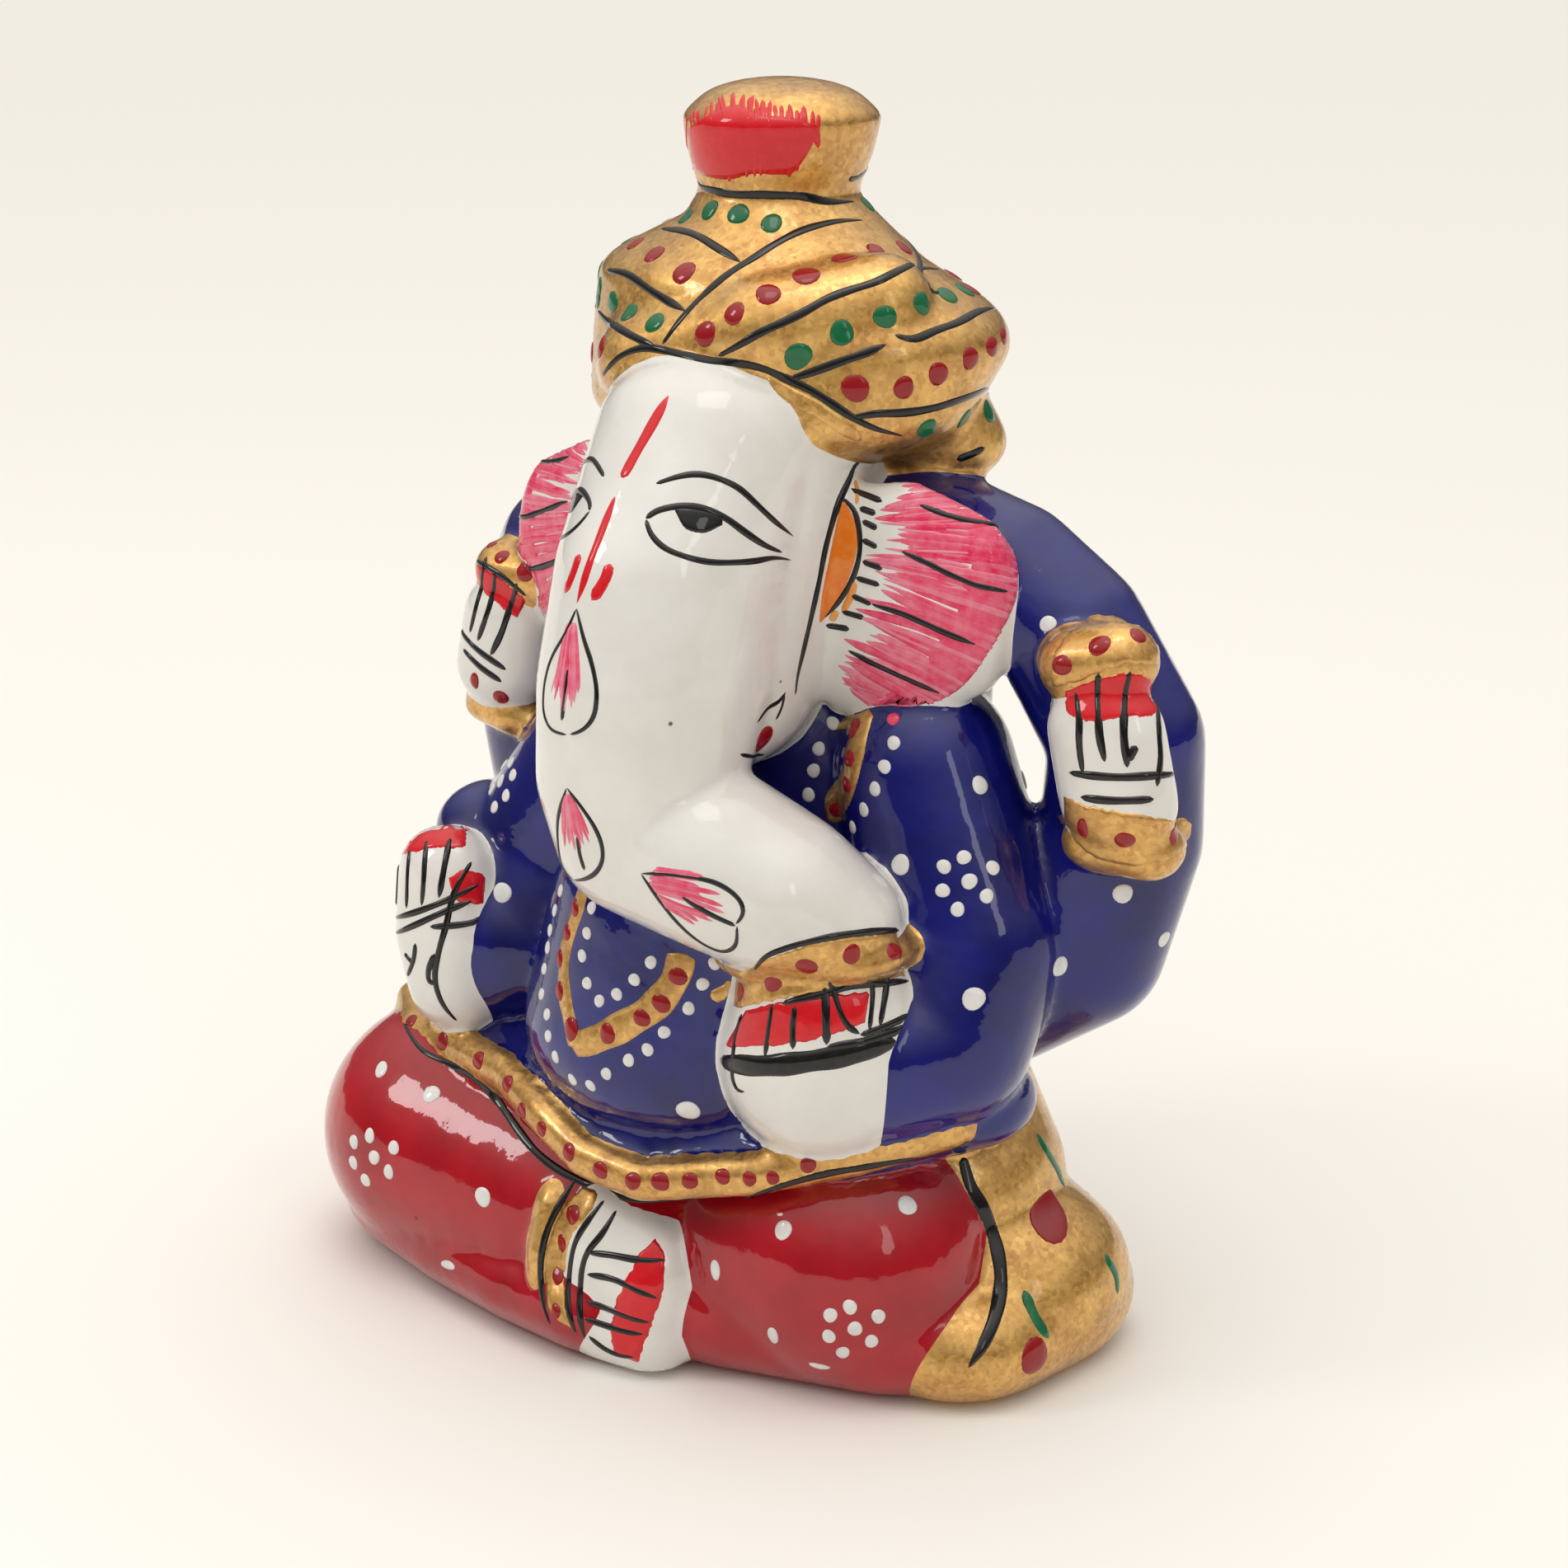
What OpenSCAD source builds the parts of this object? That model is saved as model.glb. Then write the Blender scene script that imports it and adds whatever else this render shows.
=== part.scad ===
// Seated elephant-headed figure: a hollow white-metal casting whose members are
// enamelled in separate colours. It faces -Y and stands on z = 0; the origin is
// on the floor under the middle of its outline.

/* [Base] */
// Thickness of the felt pad that the figure stands on
felt_t = 0.8; // [0.5:0.1:2]
// Thickness of the sheet cover in the underside
cover_t = 1.2; // [0.8:0.1:2]
// Gap all round the cover inside the casting
cover_gap = 0.2; // [0.1:0.05:0.4]
// How far the felt pad laps over the casting's rim
pad_lap = 1.6; // [1:0.1:2.5]
// Length of the opening in the underside, across the figure
hole_w = 34; // [26:1:40]
// Depth of the opening in the underside, front to back
hole_d = 13; // [9:0.5:16]

/* [Casting] */
// Least wall of the hollow casting
wall = 2.4; // [1.6:0.1:3.2]

/* [Legs] */
// Distance from the middle to the right knee's centre
knee_x_r = 26.8; // [20:0.1:30]
// Distance from the middle to the left knee's centre
knee_x_l = 12.5; // [10:0.5:17]
// Half width of a knee
knee_rx = 12.5; // [10:0.5:15]
// Half depth of a knee
knee_ry = 12; // [9:0.5:14]
// Half height of a knee
knee_rz = 11.5; // [9:0.5:14]
// How far the foot stands in front of the middle
foot_y = 14.5; // [11:0.5:16]
// Half height of the foot
foot_rz = 6.8; // [5:0.2:9]

/* [Drape] */
// Distance from the middle to the left corner of the drape
drape_x_l = 23.5; // [20:0.5:28]
// Distance from the middle to the right corner of the drape
drape_x_r = 27; // [22:0.5:32]
// Half height of the drape's corners
drape_rz = 8.5; // [6:0.5:11]

/* [Torso] */
// Height of the lap, where the torso starts
lap_z = 20; // [16:0.5:26]
// Height of the torso from the lap to the turban
torso_h = 51; // [44:0.5:60]
// Width of the torso at the waist
waist_w = 44; // [38:1:52]
// Width of the torso at the chest
chest_w = 34; // [28:1:40]
// Depth of the torso
chest_d = 19; // [15:0.5:23]
// Half width of the belly
belly_rx = 14.5; // [11:0.5:18]
// How far the belly stands in front of the middle
belly_y = 6.5; // [4:0.5:9]

/* [Arms] */
// Thickness of the rear arms
rear_arm_t = 13.5; // [10:0.5:17]
// Gap between the chest and the left rear arm
arm_gap = 6.5; // [5:0.25:9]
// Gap between the chest and the right rear arm
arm_gap_r = 2.25; // [2:0.25:9]
// Thickness of the front sleeves
sleeve_t = 14; // [10:0.5:17]
// Half width of a rear hand
rear_hand_rx = 5; // [4:0.25:6.5]
// Half width of the raised right palm
palm_rx = 5.2; // [4:0.25:6.5]
// Radius of the cupped left hand
cup_r = 8; // [6:0.25:10]
// Height of the gold bands
band_h = 3.6; // [2:0.2:5]

/* [Head] */
// Half width of the head
head_rx = 10.2; // [8:0.2:13]
// Half depth of the head
head_ry = 14; // [11:0.5:17]
// Radius of the trunk at its root
trunk_r = 7.4; // [5.5:0.1:9]
// Reach of an ear beside the head
ear_w = 12.5; // [10:0.5:16]
// Half height of an ear
ear_rz = 10; // [7:0.5:12]
// Half thickness of an ear
ear_ry = 2.6; // [1.8:0.1:4]

/* [Turban] */
// Width of the turban
turban_w = 35; // [30:1:44]
// Depth of the turban
turban_d = 27; // [22:1:34]
// Height of the turban from its hem to the neck of the topknot
turban_h = 20; // [16:0.5:25]
// Radius of the topknot's neck
neck_r = 6.3; // [4.5:0.1:8]
// Radius of the topknot's crown
knot_r = 7.4; // [6:0.1:9.5]
// Height of the topknot
knot_h = 9; // [7:0.5:12]
// How far the topknot stands to the right of the middle
knot_off = 0.9; // [0:0.1:3]

/* [Ornaments] */
// Half thickness of the raised necklace
necklace_r = 1.5; // [1:0.1:2.2]
// Half thickness of the hem at the waist
hem_r = 1.8; // [1.4:0.1:3.2]

/* [Hidden] */
fn_big = 18;
fn_small = 14;
fn_fine = 10;
home = [1.07, 2.22, 0];
back_y = 5;
turban_z = lap_z + torso_h;
neck_z = turban_z + turban_h;
sleeve_r = sleeve_t / 2;
rear_arm_r = rear_arm_t / 2;
hand_z = lap_z + 0.63 * torso_h;
cup_x = chest_w / 2 - 3.8;
palm_x = chest_w / 2 + 7.5;
hole_mid = [-2, 0, 0];

// Distance from the middle to a rear arm's outermost lump, on one side
function arm_x(side) = chest_w / 2 + (side > 0 ? arm_gap : arm_gap_r) + rear_arm_r;

// How far a rear hand leans outward from its arm, on one side
function hand_lean(side) = side > 0 ? 2.1 : -0.3;

// An ellipsoid with centre p and radii r
module ball(p, r, fn = fn_big) translate(p) scale(r) sphere(1, $fn = fn);

// Hulls from each ball in a list of [centre, radii] to the next
module limb(balls, fn = fn_big)
    for (i = [0 : len(balls) - 2]) hull() {
        ball(balls[i][0], balls[i][1], fn);
        ball(balls[i + 1][0], balls[i + 1][1], fn);
    }

// One hull over a list of [centre, radii]
module blob(balls, fn = fn_small) hull() for (b = balls) ball(b[0], b[1], fn);

// A shape made for the figure's left side, or its mirror image for the right
module on_side(side) mirror([side > 0 ? 0 : 1, 0, 0]) children();

// The half space below the casting's rim
module below_rim() translate([-60, -60, -40]) cube([120, 120, 40 + felt_t]);

// A stadium prism in the underside, grown or shrunk all round by grow
module base_prism(z, h, grow) translate(hole_mid + [0, 0, z]) linear_extrude(h)
    union() {
        square([hole_w - hole_d, hole_d + 2 * grow], center = true);
        for (s = [-1, 1]) translate([s * (hole_w - hole_d) / 2, 0]) circle(hole_d / 2 + grow);
    }

// The one core that leaves the casting hollow
module core() {
    base_prism(-1, 10, 0);
    limb([
        [[-8, 0, 10], [hole_w / 2 - 9, hole_d / 2, 6]],
        [[0, 1, lap_z + 4], [waist_w / 2 - 3 * wall, chest_d / 2 - wall + 1, 8]],
        [[0, back_y - 2, lap_z + 0.5 * torso_h], [chest_w / 2 - 2 * wall, chest_d / 2 - wall, 8]],
        [[0, back_y - 2, turban_z - 8], [head_rx - wall, chest_d / 2 - wall, 6]],
        [[0, back_y - 1, turban_z + 8], [turban_w / 2 - 3 * wall, turban_d / 2 - 2 * wall, 6]]], fn_small);
}

module right_leg_shape() {
    limb([
        [[-knee_x_r, -5.6, knee_rz - 1], [knee_rx, knee_ry, knee_rz]],
        [[-13, -8.7, 9], [12, 9.7, 10]],
        [[-4, -9, 8.5], [9, 8.5, 9.4]]]);
    // the foot of the casting under the shin
    blob([
        [[-knee_x_r - 1.2, -4.2, 4], [knee_rx - 1.3, knee_ry - 1.4, 6]],
        [[-13, -8, 4], [10, 11.4, 6]],
        [[-6, -9, 4], [9, 11.4, 6]]]);
}
module left_leg_shape() {
    limb([
        [[knee_x_l, -5, knee_rz - 2], [knee_rx - 1, knee_ry - 0.5, knee_rz]],
        [[7, -6, 9], [10, 10, 10.5]],
        [[0, -4, 9], [10, 9, 10]]]);
    blob([[[knee_x_l + 2.5, -4, 4], [11, 10.4, 6]], [[4, -7, 4], [9, 10.4, 6]]]);
}
module foot_shape() {
    blob([
        [[-4.5, -foot_y, 7.8], [3.6, 4.4, foot_rz]],
        [[0.2, -foot_y, 6.6], [4, 4.4, foot_rz - 0.4]]]);
    blob([[[-7, 0.8 - foot_y, 8], [2, 4, 5]], [[-3, 0.6 - foot_y, 8], [4, 4, 5]]]);
    blob([[[-3.6, -0.9 - foot_y, 3.4], [4.4, 4.4, 4]], [[0, -0.9 - foot_y, 3.2], [4, 4, 4]]]);
    for (i = [0 : 4])
        blob([
            [[-0.6, 0.4 - foot_y, 10.6 - 1.8 * i], [4, 4.3, 1.1]],
            [[2.9 - 0.3 * abs(i - 1), -foot_y, 10.2 - 1.8 * i], [1.5, 3.2, 1.1]]], fn_fine);
}
module anklet_shape() blob([
    [[-9, -0.4 - foot_y, 12], [2, 3.6, 3]],
    [[-8, -1.2 - foot_y, 4.2], [2, 3.9, 3.4]]]);
module drape_shape() {
    limb([
        [[drape_x_l, 4.5, drape_rz - 2.6], [8.3, 9.8, drape_rz - 0.8]],
        [[14, 3, 9], [9, 13, 9.5]],
        [[-12, 6, 9], [12, 11, 10]],
        [[-drape_x_r, 6, drape_rz], [9, 9.5, drape_rz]]]);
    blob([[[drape_x_l - 2.5, -1.5, 4], [8.6, 9.8, 6]], [[drape_x_l - 0.3, 5.5, 4], [8, 10, 6]]]);
    limb([
        [[drape_x_l - 4.5, 4, drape_rz + 4.5], [6.8, 9, 8]],
        [[waist_w / 2 - 8, 5, lap_z], [8, 9.5, 5]],
        [[8 - waist_w / 2, 5, lap_z + 1], [9, 9.5, 5]],
        [[-drape_x_r, 5, 14], [8, 8, 7]]]);
}
module torso_shape() {
    limb([
        [[0, back_y, lap_z + 6], [waist_w / 2, chest_d / 2 + 1, 9]],
        [[0, back_y, lap_z + 0.45 * torso_h], [chest_w / 2, chest_d / 2, 9]],
        [[0, back_y + 1, lap_z + 0.7 * torso_h], [chest_w / 2, chest_d / 2 - 1, 9]],
        [[0, back_y + 1, turban_z - 5], [chest_w / 2 - 2.5, chest_d / 2 - 2, 6]]]);
    limb([
        [[-2, -belly_y, lap_z + 6], [belly_rx, 12, 9.5]],
        [[-1, 1 - belly_y, lap_z + 16], [belly_rx - 1, 11, 9]]]);
    // the skirt of the tunic, which closes the gap between the belly and the hem
    limb([
        [[-12, -7, lap_z + 0.6], [8, 7.4, 3]],
        [[-2, -9.2, lap_z - 0.6], [10, 8, 3]],
        [[10, -7.4, lap_z + 0.6], [9, 7.4, 3]]], fn_small);
}
module rear_arm_shape(side) on_side(side) limb([
    [[chest_w / 2 - 5, back_y + 1, turban_z - 6], [7.2, 7, 6]],
    [[arm_x(side) - 5.6, back_y + 1, turban_z - 10.8], [rear_arm_r - 0.6, 6, 5.4]],
    [[arm_x(side), back_y + 1, hand_z - 0.2], [rear_arm_r - 0.4, 5.5, rear_arm_r]],
    [[arm_x(side), back_y + 1, hand_z - 7.5], [rear_arm_r - 0.3, 5.5, rear_arm_r]],
    [[arm_x(side) - 5, back_y + 1, lap_z + 15.6], [rear_arm_r + 1, 6.5, rear_arm_r + 0.5]],
    [[chest_w / 2 + 1, back_y + 1, lap_z + 8.6], [rear_arm_r + 1.4, 7, rear_arm_r]]]);
module front_arm_shape(side) on_side(side) limb([
    [[chest_w / 2 - 3, back_y - 4, lap_z + 0.52 * torso_h], [sleeve_r, sleeve_r, sleeve_r]],
    [[chest_w / 2 + 3, -1, lap_z + 15], [sleeve_r + 1, sleeve_r, sleeve_r + 1]],
    [[chest_w / 2 + 3, -4, lap_z + 9], [sleeve_r, sleeve_r, sleeve_r]],
    side > 0 ? [[cup_x + 3, -8, lap_z + 8], [sleeve_r, sleeve_r, sleeve_r]]
             : [[palm_x - 3, -6, lap_z + 9], [sleeve_r - 1, sleeve_r - 1, sleeve_r]]]);
module rear_hand_shape(side) on_side(side) {
    x = arm_x(side) + hand_lean(side);
    blob([
        [[x, -0.2, hand_z - 2.7], [rear_hand_rx - 0.2, 3.4, 4.3]],
        [[x - 1.1, -0.2, hand_z + 2.5], [rear_hand_rx - 0.3, 3.2, 4]]]);
    blob([[[x + 1, -0.3, hand_z - 2], [3, 3.5, 4]], [[x, -0.3, hand_z + 2], [3, 3.4, 4]]]);
    blob([[[x - 3.2, 0, hand_z - 4], [1.8, 3, 2]], [[x - 4.2, 0, hand_z], [1.5, 2.6, 2]]], fn_fine);
}
module rear_attribute_shape(side) on_side(side) {
    x = arm_x(side) + hand_lean(side);
    blob([
        [[x - 3.9, 0.4, hand_z + 7], [3, 3.1, 2.8]],
        [[x - 0.6, 0.6, hand_z + 7.5], [3, 3.1, 2.8]]]);
}
module rear_bangle_shape(side) on_side(side) {
    x = arm_x(side) + hand_lean(side);
    blob([
        [[x - 1.9, 0.6, hand_z - 6], [2.6, 3.1, band_h / 2 + 0.3]],
        [[x + 2.2, 1, hand_z - 5.8], [2.5, 3.1, band_h / 2 + 0.3]]]);
}
module blessing_hand_shape() {
    blob([
        [[-palm_x, -9.3, lap_z + 8], [palm_rx, 4.4, 5.5]],
        [[-palm_x - 0.3, -9, lap_z + 13], [palm_rx - 0.4, 4, 4]]]);
    blob([[[-palm_x + 1, -9, lap_z + 4], [4, 4.4, 3]], [[-palm_x + 0.6, -8, lap_z + 8], [4, 4.4, 3]]]);
    blob([[[-palm_x - 1, -10, lap_z + 4.6], [3, 4, 2.6]], [[-palm_x - 2, -9.6, lap_z + 8], [2.6, 4, 3]]]);
    for (i = [-1.5 : 1.5])
        blob([
            [[-palm_x - 0.2 + 2.1 * i, -10 + 0.5 * abs(i), lap_z + 10], [1.6, 3, 2]],
            [[-palm_x - 0.4 + 2 * i, -9.7 + 0.5 * abs(i), lap_z + 16.4 - abs(i)],
             [1.5, 2.6, 1.8]]], fn_fine);
    blob([
        [[-palm_x + 3, -10, lap_z + 7], [2, 3, 2.6]],
        [[-palm_x + 3.8, -9.8, lap_z + 10], [1.6, 2.6, 2.2]]], fn_fine);
}
module cupped_hand_shape() {
    blob([
        [[cup_x - 0.3, -10.3, lap_z + 8.5], [cup_r, cup_r - 0.7, cup_r]],
        [[cup_x, -10.3, lap_z + 14], [cup_r - 0.8, cup_r - 1.4, 4]]]);
    for (i = [0 : 3])
        blob([
            [[cup_x - 3.8, -12, lap_z + 14 - 2.1 * i], [3, 4.6, 1.5]],
            [[cup_x + 3.4, -12.2, lap_z + 14.4 - 2.1 * i], [3, 4.4, 1.5]]], fn_fine);
    blob([
        [[cup_x - 5.2, -10, lap_z + 9], [2.4, 4, 3]],
        [[cup_x - 5.4, -10, lap_z + 13], [2, 3.6, 2.4]]], fn_fine);
    blob([[[cup_x + 3, -8, lap_z + 7], [5, 5, 5]], [[cup_x + 5, -6.5, lap_z + 8], [4.6, 4.6, 5]]]);
}
module sweet_bowl_shape() blob([
    [[cup_x - 3.4, -11.2, lap_z + 16.4], [cup_r - 3.7, cup_r - 2, band_h / 2]],
    [[cup_x + 3.2, -10.2, lap_z + 17.7], [cup_r - 3.6, cup_r - 2.1, band_h / 2]]]);
module head_shape() {
    limb([
        [[0, -1, turban_z + 2], [head_rx, head_ry - 1, 8]],
        [[0, -2, turban_z - 8], [head_rx, head_ry, 8]],
        [[0, -7, turban_z - 16], [head_rx - 2, head_ry - 2, 7]]]);
    limb([
        [[0, -5.6, turban_z + 3], [trunk_r + 1.8, 9, 7]],
        [[0, -9.8, turban_z - 6], [trunk_r + 1.4, 11.4, 7.5]],
        [[0, -13, turban_z - 14], [trunk_r + 1.2, 10.6, 7.5]],
        [[0, -16, turban_z - 21], [trunk_r + 0.3, trunk_r, 7]],
        [[1, -16, lap_z + 26], [trunk_r, trunk_r, 7]],
        [[6, -15.2, lap_z + 24.3], [trunk_r - 0.2, trunk_r - 0.2, 6.8]],
        [[cup_x - 2.7, -13.5, lap_z + 22], [trunk_r - 0.6, trunk_r - 0.4, 6.2]],
        [[cup_x + 0.4, -11.3, lap_z + 19.8], [trunk_r - 1.4, trunk_r - 1, 4.6]]], fn_small);
}
module ear_shape(side) on_side(side) limb([
    [[head_rx - 1.5, -2, turban_z - 4.4], [3, ear_ry, ear_rz - 4]],
    [[head_rx - 1, -2, turban_z - 9], [3, ear_ry, ear_rz - 1]],
    [[head_rx - 7.7 + ear_w, -1.4, turban_z - 8.8], [3.4, ear_ry + 0.3, ear_rz - 0.6]],
    [[head_rx - 2.8 + ear_w, 0, turban_z - 8.6], [3.2, ear_ry, ear_rz - 3]]], fn_small);
module pendant_shape(side) on_side(side) limb([
    [[head_rx - 1.4, -8.4, turban_z - 20], [1.4, 1.6, 1.8]],
    [[head_rx - 0.4, -7, lap_z + 0.53 * torso_h], [1.6, 1.8, 2]],
    [[head_rx - 0.6, -6.6, lap_z + 0.43 * torso_h], [1.6, 1.8, 2]]], fn_small);
module turban_shape() {
    limb([
        [[0, back_y - 1.5, turban_z + 5], [turban_w / 2 - 1.5, turban_d / 2 - 1, 5]],
        [[0, back_y + 0.6, turban_z + 9.5], [turban_w / 2, turban_d / 2, 6.6]],
        [[-1.8, back_y - 0.7, neck_z - 6.3], [turban_w / 2 - 3.2, turban_d / 2 - 2.5, 4.5]],
        [[-knot_off, back_y, neck_z - 1.7], [neck_r + 1.7, neck_r + 1.5, 2]],
        [[-knot_off, back_y, neck_z - 0.6], [neck_r + 0.4, neck_r + 0.4, 1]]]);
    // the roll that hangs down at the back of the head
    limb([
        [[0, back_y + 4.3, turban_z + 1.6], [turban_w / 2 - 1.3, 8, 5.6]],
        [[0, back_y + 2, turban_z + 6], [turban_w / 2 - 2.5, 9, 5]]]);
    // the fold that runs up across the front
    limb([
        [[6.5 - turban_w / 2, back_y - 4.5, turban_z + 6], [4, 4, 4]],
        [[-6, back_y - turban_d / 2 + 4.3, turban_z + 8], [5, 4.6, 4.6]],
        [[4, back_y - turban_d / 2 + 4.3, turban_z + 11], [5, 4.6, 4.6]],
        [[turban_w / 2 - 7, back_y - 4, turban_z + 13], [4, 4, 4]]], fn_small);
}
module topknot_shape() translate([-knot_off, back_y, neck_z]) rotate_extrude($fn = 48) polygon([
    [0, -1.5], [neck_r, -1.5], [neck_r, 0], [knot_r - 0.3, knot_h * 0.5], [knot_r, knot_h * 0.68],
    [knot_r - 0.8, knot_h * 0.88], [knot_r - 3.2, knot_h], [0, knot_h]]);
module necklace_shape() limb([
    [[-14, -9.6, lap_z + 30], [necklace_r, 1.2, necklace_r]],
    [[-11, -14, lap_z + 21], [necklace_r, 1.2, necklace_r]],
    [[-6, -18, lap_z + 12], [necklace_r, 1.2, necklace_r]],
    [[-2, -19.2, lap_z + 9], [necklace_r, 1.2, necklace_r]],
    [[2, -18.6, lap_z + 12], [necklace_r, 1.2, necklace_r]],
    [[7, -16.4, lap_z + 18], [necklace_r, 1.2, necklace_r]]], fn_fine);
module hem_shape() limb([
    [[-waist_w / 2 - 11.5, -4.5, lap_z + 0.4], [hem_r, hem_r, hem_r]],
    [[-waist_w / 2 - 7, -9, lap_z + 0.2], [hem_r, hem_r, hem_r]],
    [[-16, -13.2, lap_z + 0.6], [hem_r, hem_r, hem_r]],
    [[-10, -16.2, lap_z - 0.4], [hem_r, hem_r, hem_r]],
    [[-3, -18, lap_z - 2.4], [hem_r, hem_r, hem_r]],
    [[10, -15.6, lap_z - 0.8], [hem_r, hem_r, hem_r]],
    [[17, -12, lap_z + 1.2], [hem_r, hem_r, hem_r]],
    [[waist_w / 2 + 1, -7.4, lap_z + 3.4], [hem_r, hem_r, hem_r]],
    [[waist_w / 2 + 4, -1, lap_z + 5], [hem_r, hem_r, hem_r]]], fn_fine);

// Every piece below gives way to the neighbours that are subtracted from it, so
// that the pieces meet face to face.
module hands() {
    cupped_hand_shape();
    blessing_hand_shape();
    for (s = [-1, 1]) rear_hand_shape(s);
}
module bands() {
    sweet_bowl_shape();
    for (s = [-1, 1]) {
        rear_attribute_shape(s);
        rear_bangle_shape(s);
    }
}
module felt_pad() color("darkolivegreen") base_prism(0, felt_t, pad_lap);
module base_cover() color("silver") base_prism(felt_t, cover_t, -cover_gap);
module topknot() color("goldenrod") topknot_shape();
module turban() color("goldenrod") difference() {
    turban_shape();
    topknot_shape();
    core();
}
module head_and_trunk() color("ivory") difference() {
    head_shape();
    turban_shape();
    sweet_bowl_shape();
    cupped_hand_shape();
    core();
}
module ear(side) color("hotpink") difference() {
    ear_shape(side);
    head_shape();
    turban_shape();
    bands();
}
module pendant(side) color("goldenrod") difference() {
    pendant_shape(side);
    head_shape();
    ear_shape(side);
}
module necklace() color("goldenrod") difference() {
    necklace_shape();
    head_shape();
    for (s = [-1, 1]) pendant_shape(s);
}
module sweet_bowl() color("goldenrod") sweet_bowl_shape();
module cupped_hand() color("ivory") difference() {
    cupped_hand_shape();
    sweet_bowl_shape();
}
module blessing_hand() color("ivory") blessing_hand_shape();
module rear_attribute(side) color("goldenrod") rear_attribute_shape(side);
module rear_bangle(side) color("goldenrod") rear_bangle_shape(side);
module rear_hand(side) color("ivory") difference() {
    rear_hand_shape(side);
    rear_attribute_shape(side);
    rear_bangle_shape(side);
    front_arm_shape(side);
}
module foot() color("ivory") difference() {
    foot_shape();
    anklet_shape();
    below_rim();
}
module anklet() color("goldenrod") difference() {
    anklet_shape();
    below_rim();
}
module waist_hem() color("goldenrod") difference() {
    hem_shape();
    hands();
}
module front_arm(side) color("mediumblue") difference() {
    front_arm_shape(side);
    hands();
    bands();
    head_shape();
    necklace_shape();
    hem_shape();
    pendant_shape(side);
    ear_shape(side);
    core();
}
module rear_arm(side) color("mediumblue") difference() {
    rear_arm_shape(side);
    hands();
    bands();
    head_shape();
    turban_shape();
    ear_shape(side);
    pendant_shape(side);
    front_arm_shape(side);
    hem_shape();
    core();
}
module leg_cutters() {
    hands();
    hem_shape();
    foot_shape();
    anklet_shape();
    for (s = [-1, 1]) front_arm_shape(s);
    below_rim();
    core();
}
module right_leg() color("crimson") difference() {
    right_leg_shape();
    leg_cutters();
}
module left_leg() color("crimson") difference() {
    left_leg_shape();
    right_leg_shape();
    leg_cutters();
}
module torso() color("mediumblue") difference() {
    torso_shape();
    right_leg_shape();
    left_leg_shape();
    leg_cutters();
    bands();
    head_shape();
    turban_shape();
    necklace_shape();
    for (s = [-1, 1]) {
        ear_shape(s);
        pendant_shape(s);
        rear_arm_shape(s);
    }
}
module drape() color("goldenrod") difference() {
    drape_shape();
    torso_shape();
    right_leg_shape();
    left_leg_shape();
    leg_cutters();
    for (s = [-1, 1]) rear_arm_shape(s);
}

translate(home) {
    felt_pad();
    base_cover();
    right_leg();
    left_leg();
    foot();
    anklet();
    drape();
    torso();
    waist_hem();
    necklace();
    rear_arm(1);  // rear_arm_left
    rear_arm(-1);  // rear_arm_right
    front_arm(1);  // front_arm_left
    front_arm(-1);  // front_arm_right
    rear_hand(1);  // rear_hand_left
    rear_hand(-1);  // rear_hand_right
    blessing_hand();
    cupped_hand();
    rear_attribute(1);  // rear_attribute_left
    rear_attribute(-1);  // rear_attribute_right
    rear_bangle(1);  // rear_bangle_left
    rear_bangle(-1);  // rear_bangle_right
    sweet_bowl();
    head_and_trunk();
    ear(1);  // ear_left
    ear(-1);  // ear_right
    pendant(1);  // pendant_left
    pendant(-1);  // pendant_right
    turban();
    topknot();
}
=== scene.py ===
import math, random
import bpy, bmesh
import numpy as np
from mathutils import Matrix, Vector
from mathutils.bvhtree import BVHTree


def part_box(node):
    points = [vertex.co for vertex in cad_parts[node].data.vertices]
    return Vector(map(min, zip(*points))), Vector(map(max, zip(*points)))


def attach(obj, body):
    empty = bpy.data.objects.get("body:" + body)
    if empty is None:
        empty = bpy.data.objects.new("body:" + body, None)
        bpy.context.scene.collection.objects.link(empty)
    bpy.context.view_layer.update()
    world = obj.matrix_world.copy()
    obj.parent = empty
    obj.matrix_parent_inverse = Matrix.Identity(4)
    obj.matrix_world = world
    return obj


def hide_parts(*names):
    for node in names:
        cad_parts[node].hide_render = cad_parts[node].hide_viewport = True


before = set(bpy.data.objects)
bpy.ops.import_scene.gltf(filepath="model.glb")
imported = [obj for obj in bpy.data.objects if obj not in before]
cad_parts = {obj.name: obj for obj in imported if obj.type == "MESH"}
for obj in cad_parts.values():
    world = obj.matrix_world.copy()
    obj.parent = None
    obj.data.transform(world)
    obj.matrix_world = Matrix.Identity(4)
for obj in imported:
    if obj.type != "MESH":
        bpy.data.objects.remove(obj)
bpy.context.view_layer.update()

random.seed(11)

# The figure is laid out in millimetres on the floor, from a point just in front of the topknot's middle.
knotAside, knotBehind = 0.0009, 0.005
knotLow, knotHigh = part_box("topknot")
axisX = (knotLow[0] + knotHigh[0]) / 2 + knotAside
axisY = (knotLow[1] + knotHigh[1]) / 2 - knotBehind
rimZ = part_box("felt_pad")[1][2] * 1000
mm = 0.001

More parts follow.
